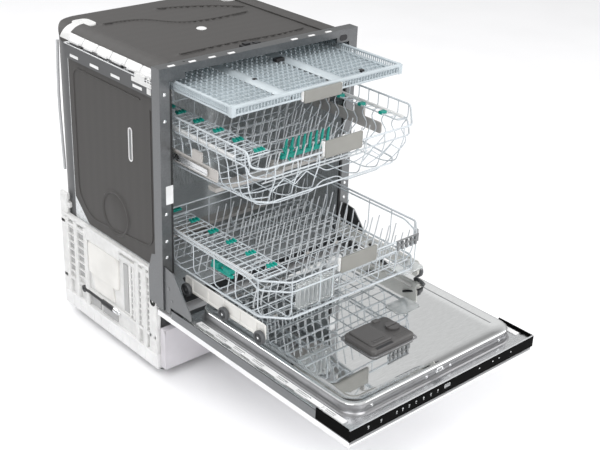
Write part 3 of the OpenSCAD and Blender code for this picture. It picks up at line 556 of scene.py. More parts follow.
def middleBasket():
    # three closed rails, S-bent side wires, a floor raised in the middle, and zigzags under the front
    half, front, back, rail, floorZ = basketBox("middle_basket")
    mid, thin = rail - middle["step"], wires["thin"]
    top = [(0, 30, rail), (2, 22, mid + 3), (24, 0, mid)]
    second = [(3, 34, mid), (5, 26, mid - 20), (28, 2, mid - 24)]
    lowest = [(34, 40, floorZ + 14), (60, 12, floorZ + 16)]
    parts = [railLoop(half, front, back, wires["rail"], top, rail, rail),
             railLoop(half, front, back - 2, wires["thick"], second, mid, mid),
             railLoop(half, front + 6, back - 8, wires["thick"], lowest, floorZ + 22, floorZ + 12)]
    ladder = [(half, 0, rail), (half, 0, mid), (half - 14, 10, mid - 22), (half - 4, -8, mid - 52),
              (half - 22, 4, floorZ + 26), (half - 46, 14, floorZ + 2), (half - 96, 0, floorZ)]
    ys = np.linspace(front + 36, back - 18, 13)
    parts.append(bothSides(tubes(repeated(fillet(ladder, 14), "y", ys), thin)))
    floorWires = [(-half + 96, 0, floorZ), (-50, 0, floorZ), (-26, 0, floorZ + 18), (26, 0, floorZ + 18),
                  (50, 0, floorZ), (half - 96, 0, floorZ)]
    parts.append(tubes(repeated(fillet(floorWires, 14), "y", ys[::2]), thin))
    ends = [(0, front, mid), (4, front, mid - 26), (-8, front + 4, mid - 62), (6, front + 24, floorZ + 14),
            (0, front + 60, floorZ + 4), (0, back - 40, floorZ + 4), (0, back, floorZ + 30), (0, back, rail)]
    parts.append(tubes(repeated(fillet(ends, 16), "x", middle["endXs"]), thin))
    zigzag = at([-196, -164, -132, -100, -70], front + 5, mid - 46 + np.array([-12, 10, -12, 10, -12]))
    parts += [tubes(zigzag, thin), tubes(zigzag * [-1, 1, 1], thin)]
    addPiece("middle_basket_wires", merge(*parts), "wire", "middle_basket",
             ("middle_basket_walls", "middle_basket_floor"), fix=False)
    rowYs, foot = front + middle["tineRows"], floorZ + 8
    prongs = prongRow(np.arange(-120, 196, 26.0), rowYs, foot, middle["tineHeight"], 16, wires["tine"])
    left, right = middle["tineSpan"]
    bases = rods(at(left, rowYs, foot), at(right, rowYs, foot), wires["thick"])
    addPiece("middle_fixed_tines", merge(prongs, bases), "tine", "middle_basket", fix=False)
    # teal comb that steadies glasses: leaning fingers that narrow by k, on a bar, and a fan of short rods
    y, combZ, lean = front + middle["combAt"], floorZ + 44, middle["fingerLean"]

    def section(x, k):
        centre = x + lean * k
        return roundedOutline(centre - 4.5 + k, centre + 4.5 - k, y - 3 + k / 2, y + 3 - k / 2, 2.4)

    fingers = [layers("z", (section(x, 0), combZ), (section(x, 0.6), combZ + 26),
                      (section(x, 1.6), combZ + 40))
               for x in np.linspace(*middle["combX"], middle["fingers"])]
    bar = bars((-48, 108), (y - 4, y + 4), (floorZ + 38, floorZ + 47))
    fan = [rods([[-34, y, combZ]], [[-34 + 26 * math.cos(b), y - 4, combZ + 26 * math.sin(b)]], 1.8)
           for b in np.linspace(-0.9, 2.6, 8)]
    addPiece("glass_comb", merge(*fingers, bar, *fan), "teal", "middle_basket", bevel=1.2)
    # the right cup shelf lies level at the rail between the walls' two heights
    x1, z = half - 4, mid + 2
    x0 = x1 - middle["shelfWidth"]
    ys = np.linspace(front + 40, back - 30, middle["shelfWires"])
    y0, y1 = ys[0] - 8, ys[-1] + 8
    frameWire = [(x1, 0, z), (x1, y0, z), (x0, y0, z + 3), (x0, y1, z + 3), (x1, y1, z), (x1, 0, z)]
    edge = tubes(fillet(frameWire, 8), shelf["edge"])
    cross = rods(at(x0, ys, z + 3), at(x1, ys, z), 1.2)
    addPiece("right_cup_shelf_wires", merge(edge, cross), "wire", "middle_basket", fix=False)
    strip = bars((x1 - 6, x1 + 2), (front + 44, back - 40), (z - 3, z + 4))
    addPiece("right_shelf_hinge_rail", strip, "milky", "middle_basket", bevel=1.5)
    clips = middle["clipYs"]
    saddles = bars((x0 - 2, x0 + 16), (clips - 8, clips + 4), (z, z + 8))
    addPiece("right_cup_shelf_clips", saddles, "teal", "middle_basket", bevel=1.2)


def sliderCarriers():
    # a ribbed plate with lugs on each side, and the C-shaped channel that slides with it
    (_, y0, z0), (x1, y1, z1) = span("basket_carriers")
    x0 = x1 - 4
    face, inner = shrunk(y0, y1, z0, z1, (0, 7), (5, 4))
    plate = layers("x", (face, x0), (face, x1 - 0.8), (inner, x1 - 0.8), (inner, x1 - 2))
    ys = np.linspace(y0 + 40, y1 - 40, 9)
    ribs = bars((x1 - 2.5, x1 - 0.4), (ys, ys + 3), (z0 + 5, z1 - 5))
    ys = np.array([y0 + 60, y0 + 190, y1 - 70])
    lugs = bars((x0 - 3, x1 - 1), (ys, ys + 34), (z1 - 4, z1 + 22))
    addPiece("slider_carriers", bothSides(merge(plate, ribs, lugs)), "beige",
             "middle_basket", "basket_carriers", bevel=0.8)
    (_, y0, z0), (x1, y1, z1) = span("rail_slides")
    x0, wall, lip = x1 - 4, x1 - 1.6, 4
    channel = [(x0, z0), (x1, z0), (x1, z0 + lip), (wall, z0 + lip),
               (wall, z1 - lip), (x1, z1 - lip), (x1, z1), (x0, z1)]
    addPiece("slide_channels", bothSides(prism(channel, "y", y0, y1)), "railSteel",
             "rail_slides", "rail_slides", bevel=0.4)


def handlePlate(node, body, name):  # a plate with a chamfered edge, held by a clip at each end
    (x0, y0, z0), (x1, y1, z1) = span(node)
    outline, inner = shrunk(x0, x1, z0, z1, (0, 3), (2.5, 2))
    plate = layers("y", (outline, y1), (outline, y0 + 1.2), (inner, y0), (inner, y0 + 0.3))
    addPiece(name, plate, "handle", body, node)
    ends = np.array([x0 - 4, x1 - 1])
    addPiece(name + "_clips", bars((ends, ends + 5), (y1 - 2, y1 + 5), (z0 + 4, z1 - 1)), "milky", body,
             bevel=1.0)


wheel = {"width": 10, "hub": 0.66, "bore": 0.62, "spokes": 6}


def wheelPair(node, name):  # a tyre, a hub and spokes, all given as shares of the wheel's radius r
    (_, y0, z0), (x1, y1, z1) = span(node)
    r, y, z = (z1 - z0) / 2, (y0 + y1) / 2, (z0 + z1) / 2
    x0, hubR, bore = x1 - wheel["width"], r * wheel["hub"], r * wheel["bore"]
    tyre = turned([(bore, x0), (r - 1.2, x0), (r, x0 + 1.5), (r, x1 - 1.5), (r - 1.2, x1), (r * 0.72, x1),
                   (hubR, x1 - 3), (bore, x1 - 3)], (0, y, z), "x", 40)
    hubProfile = [(3.1, x0 + 1), (hubR, x0 + 1), (hubR, x1 - 4),
                  (6.2, x1 - 4), (5.2, x1 - 0.5), (3.1, x1 - 0.5)]
    hub = turned(hubProfile, (0, y, z), "x", 32)
    a = np.arange(wheel["spokes"]) * 2 * math.pi / wheel["spokes"]
    spoke = rods(at(x1 - 3.2, y + 5 * np.cos(a), z + 5 * np.sin(a)),
                 at(x1 - 3.2, y + hubR * np.cos(a), z + hubR * np.sin(a)), 1.2)
    addPiece(name, bothSides(merge(tyre, hub, spoke)), "wheel", node, node)


lowerBasket()
wheelCarriers()
tineRow()
middleBasket()
sliderCarriers()
cupShelf("lower_cup_shelf", (124, 50, -25, -94, -166, -241), "lower_shelf")
cupShelf("middle_cup_shelf", (145, 102, 32, -43, -114, -188), "middle_shelf")
handlePlate("lower_basket_handle", "lower_basket", "lower_handle_plate")
handlePlate("middle_basket_handle", "middle_basket", "middle_handle_plate")
handlePlate("cutlery_tray_handle", "cutlery_tray", "tray_handle_plate")
for wheelNode in ("front_wheels", "middle_wheels", "rear_wheels"):
    wheelPair(wheelNode, wheelNode + "_rollers")
print("baskets done")

cutlery = {
    "bandXs": (-84.0, 84.0), "bandHalf": 17.0, "crown": 7, "barPitch": 19.0, "bar": 4.0, "bladePitch": 15.0,
    "blade": 2.6, "finPitch": (9.0, 7.0), "fin": (2.0, 3), "inset": 3.4, "frontRail": 4.6}


def cutleryTray():  # three toothed zones and two crowned bands inside a rim that stands on fins
    (x0, y0, z0), (x1, y1, z1) = span("cutlery_tray")
    parts = []
    left, right = cutlery["bandXs"]
    w = cutlery["bandHalf"]
    ys = np.arange(y0 + 16, y1 - 10, cutlery["barPitch"])
    for a, b in [(x0 + 12, left - w), (left + w, right - w), (right + w, x1 - 12)]:
        # bars across the zone, upright blades along it, and a tooth where they cross
        parts.append(bars((a, b), (ys, ys + cutlery["bar"]), (z0, z0 + 4)))
        xs = np.arange(a + 3, b, cutlery["bladePitch"])
        parts.append(bars((xs, xs + cutlery["blade"]), (y0 + 8, y1 - 6), (z0, z0 + 7)))
        gx, gy = (g.ravel() for g in np.meshgrid(xs, ys))
        parts.append(bars((gx - 1, gx + 3.6), (gy, gy + 6), (z0 + 6, z0 + 11)))
    addPiece("tray_slots", merge(*parts), "tray", "cutlery_tray", "cutlery_tray",
             smooth=False)
    # smooth bands between the zones, crowned across: height = 8 + crown * cos(pi * t / 2)
    t = np.linspace(-1, 1, 13)
    crown = cutlery["crown"] * np.cos(t * math.pi / 2)
    bands = [prism(np.r_[np.c_[cx + w * t, z0 + 8 + crown], np.c_[cx + (w - 1.5) * t, z0 + 6 + crown][::-1]],
                   "y", y0 + 5, y1 - 5) for cx in cutlery["bandXs"]]
    addPiece("tray_bands", merge(*bands), "tray", "cutlery_tray")
    # rim: a rounded rail all round on closely set fins, with a second rail low down
    inset, thick, top = cutlery["inset"], cutlery["frontRail"], z1 - 4
    rx0, rx1, ry0, ry1 = x0 + inset, x1 - inset, y0 + inset, y1 - inset
    corners = [(0, ry0), (rx1, ry0), (rx1, ry1), (rx0, ry1), (rx0, ry0), (0, ry0)]
    loop = fillet(place2d(corners, "z", top), 12, 6)
    thin = loop * [1, 1, 0] + [0, 0, z0 + 3]
    front = tubes(at([x0 + 10, 0, x1 - 10], y0 + thick, z1 - 5), thick, 16)
    addPiece("tray_rim", merge(tubes(loop, inset, 12), tubes(thin, 2.6, 10), front), "tray",
             "cutlery_tray", fix=False)
    pitchX, pitchY = cutlery["finPitch"]
    width, depth = cutlery["fin"]
    fy, fx = np.arange(y0 + 9, y1 - 8, pitchY), np.arange(x0 + 9, x1 - 8, pitchX)
    fins = [bars((x, x + depth), (fy, fy + width), (z0 + 3, top)) for x in (x0 + 2, x1 - 5)]
    fins += [bars((fx, fx + width), (y, y + depth), (z0 + 3, top)) for y in (y0 + 2, y1 - 5)]
    shelfXs = np.array([x0 + 3, x1 - 13])
    ledges = bars((shelfXs, shelfXs + 10), (y0 + 6, y1 - 6), (z0 + 8, z0 + 10))
    addPiece("tray_fins", merge(*fins, ledges), "tray", "cutlery_tray", smooth=False)
    stops = blocks([[44, y0 + 210, z0 + 10], [-88, y0 + 132, z0 + 11], [168, y0 + 50, z0 + 2]],
                   [[70, y0 + 224, z0 + 19], [-78, y0 + 140, z0 + 17], [180, y0 + 60, z0 + 12]])
    addPiece("tray_stops", stops, "black", "cutlery_tray", bevel=1.2)
    cap = turned([(2, z0 - 0.2), (2, z1), (6, z1), (6.5, z0 - 0.2)], (x0 + 7, y0 + 7, 0), "z", 20)
    corner = merge(bars((x0, x0 + 12), (y0, y0 + 12), (z0, z1 - 2)), cap)
    addPiece("tray_corners", bothSides(corner), "tray", "cutlery_tray", bevel=1.2)


cutleryTray()
print("cutlery tray done")


mats = {
    "sideY": (34, 404), "height": (305, 742), "thick": 3, "rearHalf": 189, "slotY": 137, "slotZ": (549, 634),
    "discY": 213, "discZ": 384, "discR": 56, "ridgeR": 2.2}


def sideMats():
    # a sheet with rounded and cut corners, a raised border, a raised disc in a ring, and an upright slot
    x1 = span("damping_mats")[1][0]
    (y0, y1), (z0, z1) = mats["sideY"], mats["height"]
    a = np.linspace(0, math.pi / 2, 7)

    def turn(cy, cz, r, start):  # a quarter circle: centre + r * (cos, sin)
        return np.c_[cy + r * np.cos(a + start), cz + r * np.sin(a + start)]

    outline = np.concatenate([
        turn(y1 - 14, z1 - 14, 14, 0), turn(y0 + 10, z1 - 10, 10, math.pi / 2),
        [(y0, 640), (y0 + 7, 630), (y0 + 7, 543), (y0, 533)],
        turn(y0 + 26, z0 + 26, 26, math.pi), [(y1 - 62, z0), (y1, z0 + 58)]])
    addPiece("side_mats", bothSides(prism(outline, "x", x1 - mats["thick"], x1)), "bitumen",
             "cabinet", "damping_mats", bevel=1.2)
    r, centre = mats["discR"], (0, mats["discY"], mats["discZ"])
    ring = [(r - 5, x1 - 0.5), (r - 3, x1 + 2.4), (r + 1, x1 + 3.4), (r + 5, x1 - 0.5)]
    disc = [(0.5, x1 - 0.5), (0.5, x1 + 1.2), (r - 9, x1 + 1.0), (r - 6, x1 - 0.5)]
    rounds = [turned(profile, centre, "x", 64) for profile in (ring, disc)]
    corners = [(y0 + 20, 700), (y0 + 20, z0 + 50), (y1 - 76, z0 + 22), (y1 - 22, z0 + 74),
               (y1 - 22, z1 - 26), (y0 + 60, z1 - 26)]
    border = tubes(fillet(place2d(corners, "x", x1), 30), mats["ridgeR"], 10)
    addPiece("mat_reliefs", bothSides(merge(*rounds, border)), "bitumen")
    y, (s0, s1) = mats["slotY"], mats["slotZ"]
    oval, hole = shrunk(y - 8, y + 8, s0, s1, (0, 8), (2.5, 5.4), sides=8)
    rim = layers("x", (oval, x1 - 1), (oval, x1 + 1.5), (hole, x1 + 1.5), (hole, x1 - 1), capEnds=False)
    addPiece("mat_slot_rims", bothSides(rim), "whiteGloss")
    back = prism(hole, "x", x1 - 1, x1 + 0.2)
    addPiece("mat_slot_backs", bothSides(back), "grey")
    plates = prism(roundedOutline(12, 33, 540, 632, 5), "x", 291, 296.5)
    addPiece("post_notch_plates", bothSides(plates), "chrome", bevel=0.8)


def rearMat():  # a rounded sheet with a raised border
    y1 = span("damping_mats")[1][1]
    half, (z0, z1) = mats["rearHalf"], mats["height"]
    outline, border = shrunk(-half, half, z0, z1, (0, 18), (21, 24))
    sheet = prism(outline, "y", y1 - mats["thick"], y1)
    ridge = tubes(place2d(np.r_[border, border[:1]], "y", y1), mats["ridgeR"], 8)
    addPiece("rear_mat", merge(sheet, ridge), "bitumen")


roof = {  # front edge, length, half width, the step in at the rear and where it starts, and the fold lines
    "front": 36, "length": 432, "half": 241, "step": 45, "stepAt": 403, "points": (90, 121), "ridge": 4.0,
    "ridgeWidth": 6.0, "foldR": 1.9, "wave": 0.25, "button": (-8, 236), "folds": (
        [(-190, 395), (-130, 392), (-78, 372), (-52, 330), (-20, 298), (60, 282), (180, 290)],
        [(-180, 90), (-40, 96), (120, 84), (200, 92)], [(0, 440), (60, 425), (150, 380), (205, 330)])}


def roofMat():
    # the sheet rises by ridge * exp(-(d / width)^2), d being the distance to a drawn fold line,
    # on a faint wave of sin(x / 31) * sin(y / 23)
    z, ridge = span("damping_mats")[1][2], roof["ridge"]
    ny, nx = roof["points"]
    y = roof["front"] + roof["length"] * np.linspace(0, 1, ny)[:, None] + np.zeros(nx)
    x = np.linspace(-1, 1, nx) * (roof["half"] - roof["step"] * np.clip((y - roof["stepAt"]) / 4, 0, 1))
    lift = np.zeros_like(x)
    folds = []
    for line in roof["folds"]:
        p = fillet(place2d(line, "z", 0), 60, 6)[:, :2]
        d = np.min(np.hypot(x[..., None] - p[:, 0], y[..., None] - p[:, 1]), axis=-1)
        folds.append(tubes(place2d(p, "z", z + ridge - 1), roof["foldR"], 8))
        lift = np.maximum(lift, np.exp(-(d / roof["ridgeWidth"]) ** 2))
    top = at(x, y, z + ridge * lift + roof["wave"] * np.sin(x / 31) * np.sin(y / 23))
    i = np.arange(ny * nx).reshape(ny, nx)
    quads = np.stack([i[:-1, :-1], i[:-1, 1:], i[1:, 1:], i[1:, :-1]], axis=-1).reshape(-1, 4)
    edge = np.concatenate([i[0], i[1:, -1], i[-1, -2::-1], i[-2:0:-1, 0]])
    skirt = top.reshape(-1, 3)[edge] * [1, 1, 0] + [0, 0, z - mats["thick"]]
    j = np.arange(edge.size) + ny * nx
    wall = np.stack([np.roll(edge, -1), edge, j, np.roll(j, -1)], axis=-1)
    sheet = np.concatenate([top.reshape(-1, 3), skirt]), [quads, wall]
    addPiece("roof_mat", sheet, "bitumen")
    addPiece("roof_folds", merge(*folds), "bitumen", fix=False)
    button = turned([(0.4, z), (0.4, z + 3.5), (9, z + 3.2), (12.5, z + 1.5), (13, z)],
                    (*roof["button"], 0), "z", 28)
    addPiece("roof_button", button, "whiteGloss")


shell = {"middle": [0, 300, 500], "liningLift": 0.5, "matLift": 1.6, "matSlope": 0.2}


def shellSkins():
    # triangles of the rear shell that look in, or out and up, moved along their corners' mean normals
    mesh = frame["nodes"]["tub_rear"].data
    points = np.empty(len(mesh.vertices) * 3)
    mesh.vertices.foreach_get("co", points)
    points = points.reshape(-1, 3) / mm - [0, frontPlane, 0]
    tris = np.empty(len(mesh.loop_triangles) * 3, int)
    mesh.loop_triangles.foreach_get("vertices", tris)
    corners = points[tris.reshape(-1, 3)]
    normals = np.cross(corners[:, 1] - corners[:, 0], corners[:, 2] - corners[:, 0])
    normals /= np.linalg.norm(normals, axis=1, keepdims=True)
    outward = np.einsum("ij,ij->i", normals, corners.mean(axis=1) - shell["middle"]) > 0

    def skinOf(chosen, lift):  # each corner moved by lift * the mean of the normals that meet there
        used, index = np.unique(np.round(corners[chosen].reshape(-1, 3), 2), axis=0, return_inverse=True)
        mean = np.zeros_like(used)
        np.add.at(mean, index.ravel(), np.repeat(normals[chosen], 3, axis=0))
        mean /= np.linalg.norm(mean, axis=1, keepdims=True)
        return used + lift * mean, [index.reshape(-1, 3)]

    addPiece("rear_shell_lining", skinOf(~outward, shell["liningLift"]), "tubSteel",
             fix=False)
    roofSide = outward & (normals[:, 2] > shell["matSlope"])
    addPiece("rear_roof_mat", skinOf(roofSide, shell["matLift"]), "bitumen", fix=False)


corner = {
    "r": 52, "innerR": 40.6, "segments": 6, "gap": 2.6, "foldFrom": 46, "gapYs": np.linspace(70, 330, 4),
    "slotYs": 71 + 90 * np.arange(4), "slotZ": (743.5, 750.5)}


def cornerBlocks():
    # white blocks round the upper edges; every arc is the corner's centre + radius * (cos a, sin a)
    (_, y0, _), (x1, y1, z1) = span("corner_insulation")
    r = corner["r"]
    cx, cz = x1 - r, z1 - r

    def arc(radius, angles):
        return np.c_[cx + radius * np.cos(angles), cz + radius * np.sin(angles)]

    a = np.linspace(math.asin(20 / r), math.pi / 2, 12)
    inner = arc(corner["innerR"], a)[::-1]
    cuts = np.linspace(y0, y1, corner["segments"] + 1)
    gap = corner["gap"] / 2
    profile = np.concatenate([arc(r, a), inner])
    lip = [(cx + 41, cz + 19), (cx + 51.6, cz + 19), (cx + 51.6, cz + 27), (cx + 41, cz + 27)]
    parts = [prism(profile, "y", s + gap, e - gap) for s, e in zip(cuts[:-1], cuts[1:])]
    lips = [prism(lip, "y", s + 8, e - 16) for s, e in zip(cuts[:-1], cuts[1:])]
    addPiece("corner_blocks", bothSides(merge(*parts, *lips)), "whiteGloss", "cabinet",
             "corner_insulation", bevel=1.8)
    b = np.linspace(math.radians(corner["foldFrom"]), math.pi / 2, 10)
    over = np.concatenate([arc(r + 2, b), arc(r + 0.2, b)[::-1]])
    apron = [(cx, cz + r + 0.2), (cx, cz + r + 2), (cx - 14, cz + 46.5), (cx - 14, cz + 43.5)]
    folds = merge(*[prism(shape, "y", 36, y1 + 2) for shape in (over, apron)])
    addPiece("roof_mat_folds", bothSides(folds), "bitumen", bevel=0.6)
    wrap = prism(np.concatenate([arc(47, a), inner]), "y", y1 + 3, y1 + 46)
    (_, _, low), (_, _, top) = span("rear_brackets")
    plate = prism(roundedOutline(198, 246, y1 + 4, y1 + 62, 16), "z", low + 0.2, top + 1.5)
    eye = turned([(5, top + 1), (5, top + 4), (9, top + 3.5), (11, top + 1)], (221, y1 + 34, 0), "z", 24)
    addPiece("rear_corner_brackets", bothSides(merge(wrap, plate, eye)), "milky", "cabinet",
             "rear_brackets", bevel=1.5)
    # bright ledge and dark gaps under the white blocks, then the slotted strip's bars and the front clip
    x, _, top = span("side_strips")[1]
    ledge = bars((x - 10, x + 0.3), (34, y1 + 6), (top - 4, top - 1))
    addPiece("side_ledges", bothSides(ledge), "railSteel", bevel=0.5)
    ys = corner["gapYs"]
    dark = bars((x - 8, x - 0.6), (ys, ys + 48), (top - 1, top + 2.5))
    addPiece("side_gaps", bothSides(dark), "black")
    ys = corner["slotYs"]
    filled = bars((x - 3, x + 0.4), (ys + 0.5, ys + 37.5), corner["slotZ"])
    addPiece("side_slot_bars", bothSides(filled), "whiteGloss", bevel=0.5)
    clip = blocks([[x - 12, 34, 757], [x - 12, 60, 765], [x - 10, 36, 742]],
                  [[x + 1.2, 112, 768], [x + 0.8, 100, 779], [x + 1.0, 52, 756]])
    boss = turned([(4, x - 3), (4, x + 1), (7, x + 1), (8, x - 3)], (0, 46, 772), "x", 20)
    addPiece("corner_clips", bothSides(merge(clip, boss)), "milky", bevel=1.0)


post = {
    "tabXs": np.array([-262, -205, -150, -95, 95, 150, 205]), "screwX": 285,
    "screwZs": (752, 690, 462, 392, 350),
    "screw": [(0.3, 1.7), (2.2, 1.5), (3.8, 0.9), (4.6, 0), (4.6, -0.6), (0.3, -0.6)],  # (radius, height)
    "foot": [(28, 215), (60, 215), (60, 300), (46, 345), (28, 352)], "gussetX": 295.2}


def frameDetails():
    # tabs, screws, labels, latch and foot plates on the front frame
    # each screw's head is one turned dome, moved to its place
    top = span("front_frame")[1][2]
    xs = post["tabXs"]
    tabs = bars((xs - 9, xs + 9), (3, 10), (top - 1, top + 1.6))
    addPiece("frame_top_tabs", tabs, "whiteGloss", bevel=0.8)
    points, faces = turned(post["screw"], (0, 0, 0), "y", 20)
    heads = [(points * [1, -1, 1] + [x, 0, z], faces) for x in (-post["screwX"], post["screwX"])
             for z in post["screwZs"]]
    addPiece("frame_screws", merge(*heads), "chrome")
    plate = prism(roundedOutline(-286, -266, 486, 532, 2), "y", -0.6, 0.2)
    addPiece("post_labels", bothSides(plate), "whiteGloss")
    oval = prism(roundedOutline(238, 264, 784, 799, 7.4, 8), "y", -0.5, 0.3)
    addPiece("frame_oval", oval, "black")
    foot = prism(post["foot"], "x", 297.2, 298.6)
    addPiece("post_foot_plates", bothSides(foot), "frameSteel", bevel=0.5)
    latch = blocks([[-30, 34, top - 13], [-24, 44, top - 6], [4, 40, top - 6], [-44, 38, top - 14],
                    [26, 44, top - 14], [-20, 16, top - 17]],
                   [[24, 60, top - 4], [-8, 58, top + 0.5], [20, 54, top - 1], [-30, 52, top - 8],
                    [50, 58, top - 9], [12, 34, top - 10]])
    addPiece("latch_parts", latch, "black", "cabinet", "door_latch", bevel=1.0)
    x = post["gussetX"]
    holes = [turned([(0.4, x), (0.4, x + 0.6), (r, x + 0.6), (r + rim, x)], (0, y, z), "x", sides)
             for r, rim, y, z, sides in ((5, 0.4, -16, 276, 20), (3, 0.2, -30, 248, 16))]
    addPiece("gusset_holes", bothSides(merge(*holes)), "grey")


base = {
    "wallX": 297.0, "pillarYs": (52, 86, 120, 356, 404, 446), "postYs": (64, 100, 136, 152),
    "ribZs": np.arange(128, 262, 17.0), "rearRibZs": np.arange(132, 286, 22.0),
    "trayRibYs": np.arange(52, 460, 34.0),
    "bossYs": (120.0, 250.0, 380.0)}


def baseSides():
    # pillars with rounded faces, ledges between them, ribs in the bays and a panel behind
    x = base["wallX"]
    parts = [prism(roundedOutline(x - 10, x, y - 8, y + 8, 3), "z", 66, 292) for y in base["pillarYs"]]
    parts += [prism(roundedOutline(x - 8, x - 2, y - 4, y + 4, 2), "z", 120, 268) for y in base["postYs"]]
    ledges = [(11, 30, 290, 0, 470, 300), (11, 196, 262, 1, 352, 292), (9, 40, 108, 1, 468, 116),
              (9, 66, 268, 2, 196, 280), (8, 352, 270, 1, 470, 278)]  # (depth, y, z) to (depth, y, z)
    d0, y0, z0, d1, y1, z1 = np.array(ledges).T
    parts.append(bars((x - d0, x - d1), (y0, y1), (z0, z1)))
    zs, rearZs = base["ribZs"], base["rearRibZs"]
    parts.append(bars((x - 8, x - 3), (68, 146), (zs, zs + 3)))
    parts.append(bars((x - 7, x - 2), (360, 440), (rearZs, rearZs + 3)))
    parts.append(blocks([[x - 11, 34, 66], [x - 11, 440, 66]], [[x - 1, 66, 290], [x - 1, 470, 292]]))
    panel = bars((x - 11, x - 9), (36, 468), (66, 292))
    addPiece("base_side_frames", bothSides(merge(panel, *parts)), "milky", "cabinet",
             "base_walls", bevel=1.2)
    # the tray: side walls with a rim, the rear wall, gussets, half of the floor and three bosses
    walls = blocks([[x - 8, 33, 26], [x - 10, 33, 60], [-x + 2, 458, 64]],
                   [[x, 469, 62], [x + 1.0, 469, 66], [x - 2, 470, 228]])
    ys = base["trayRibYs"]
    gussets = bars((x - 6, x + 1.5), (ys, ys + 3), (28, 64))
    floorPlate = blocks([[0, 33, 25], [0, 33, 26]], [[x - 4, 469, 30], [x - 6, 40, 62]])
    boss = [(3, x - 2), (3, x + 1.5), (7, x + 1.2), (8, x - 2)]
    bosses = [turned(boss, (0, y, 44), "x", 20) for y in base["bossYs"]]
    addPiece("base_tray_shell", bothSides(merge(walls, gussets, floorPlate, *bosses)), "white",
             "cabinet", "base_tray", bevel=1.0)
    # painted shade: pale grey sheets sunk in the pockets between the pillars stand in for the recesses'
    # shadows, each from (y, z) to (y, z)
    pockets = [(166, 122, 186, 258), (60, 124, 148, 264), (350, 128, 446, 286), (220, 70, 290, 106),
               (300, 70, 344, 106)]
    y0, z0, y1, z1 = np.array(pockets).T
    sunk = bars((x - 8.8, x - 7), (y0, y1), (z0, z1))
    addPiece("base_pocket_shadows", bothSides(sunk), "shade")


softener = {"y": (206, 346), "z": (166, 262), "foot": 124, "combPitch": 11.0}


def softenerCover():  # a cover with a chamfered edge, a narrower foot below it and a comb above
    x0 = span("softener_unit")[0][0]
    (y0, y1), (z0, z1) = softener["y"], softener["z"]
    outline, inner = shrunk(y0, y1, z0, z1, (0, 12), (3, 10))
    cover = layers("x", (outline, x0 + 8), (outline, x0 + 2.5), (inner, x0), (inner, x0 + 0.3))
    foot = [(y0 + 30, z0 + 2), (y0 + 22, softener["foot"]), (y1 - 26, softener["foot"]), (y1 - 10, z0 + 2)]
    addPiece("softener_cover", merge(cover, prism(foot, "x", x0 + 3, x0 + 12)), "cream",
             "cabinet", "softener_unit", bevel=1.0)
    ys = np.arange(y0 + 6, y1 - 30, softener["combPitch"])
    comb = bars((x0 + 0.5, x0 + 5), (ys, ys + 6), (z1 + 1, z1 + 6))
    addPiece("softener_comb", comb, "grey", bevel=0.6)


strut = {"z": 107, "rear": 366, "front": 226, "rodR": 5.0, "sleeveR": 8.2, "capR": 7.6}


def sideStrut():  # a level rod, thicker over its front half, with an eye at the rear and a ball end in front
    x, z = -base["wallX"] + 2, strut["z"]
    line = at(x, np.linspace(strut["rear"], strut["front"], 9), z)
    eye = turned([(4, x - 4), (4, x + 3), (9, x + 3), (10, x - 4)], (0, 368, z), "x", 20)
    black = merge(tubes(line, strut["rodR"], 14), tubes(line[5:], strut["sleeveR"], 16), eye)
    addPiece("strut_black", black, "black")
    cap = tubes(at(x, [228, 214, 206], z), strut["capR"], 18)
    ball = turned([(0.4, 200), (3, 201), (5, 204), (5, 208), (0.4, 209)], (x, 0, z), "y", 18)
    addPiece("strut_end", merge(cap, ball), "chrome")


def rearFittings():  # the posts at the rear corners, and the toe-kick plate with lips on its four edges
    x = base["wallX"]
    box = prism(roundedOutline(x - 12, x - 1, 440, 474, 4), "z", 300, 352)
    column = prism(roundedOutline(x - 14, x - 2, 448, 474, 4), "z", 150, 300)
    lugs = blocks([[x - 16, 430, 318], [x - 10, 436, 340]], [[x - 4, 444, 332], [x - 2, 470, 358]])
    addPiece("rear_corner_fittings", bothSides(merge(box, column, lugs)), "milky", bevel=1.2)
    (x0, y0, z0), (x1, y1, z1) = span("kick_plate")
    plate = prism(roundedOutline(x0, x1, z0, z1, 3), "y", y0 + 1.2, y1)
    lips = bars((np.array([x0, x0, x0, x1 - 3]), np.array([x1, x1, x0 + 3, x1])), (y0, y0 + 2),
                (np.array([z1 - 12, z0, z0, z0]), np.array([z1, z0 + 4, z1, z1])))
    addPiece("kick_plate_panel", merge(plate, lips), "plinth", "cabinet", "kick_plate",
             bevel=0.8)


sideMats()
rearMat()
roofMat()
shellSkins()
cornerBlocks()
frameDetails()
baseSides()
softenerCover()
sideStrut()
rearFittings()
print("cabinet done")


door = {
    "strip": (271.0, 285.0), "bridgeYs": np.array([0, 60, 70, 150, 215, 300, 365, 430]), "lastBridge": 8,
    "bridgeLengths": np.array([30, 6, 44, 30, 46, 34, 26, 30, 8]), "pinYs": (108, 186, 330, 398),
    "bandX": (292.6, 294.6), "bandZ": (201, 219)}


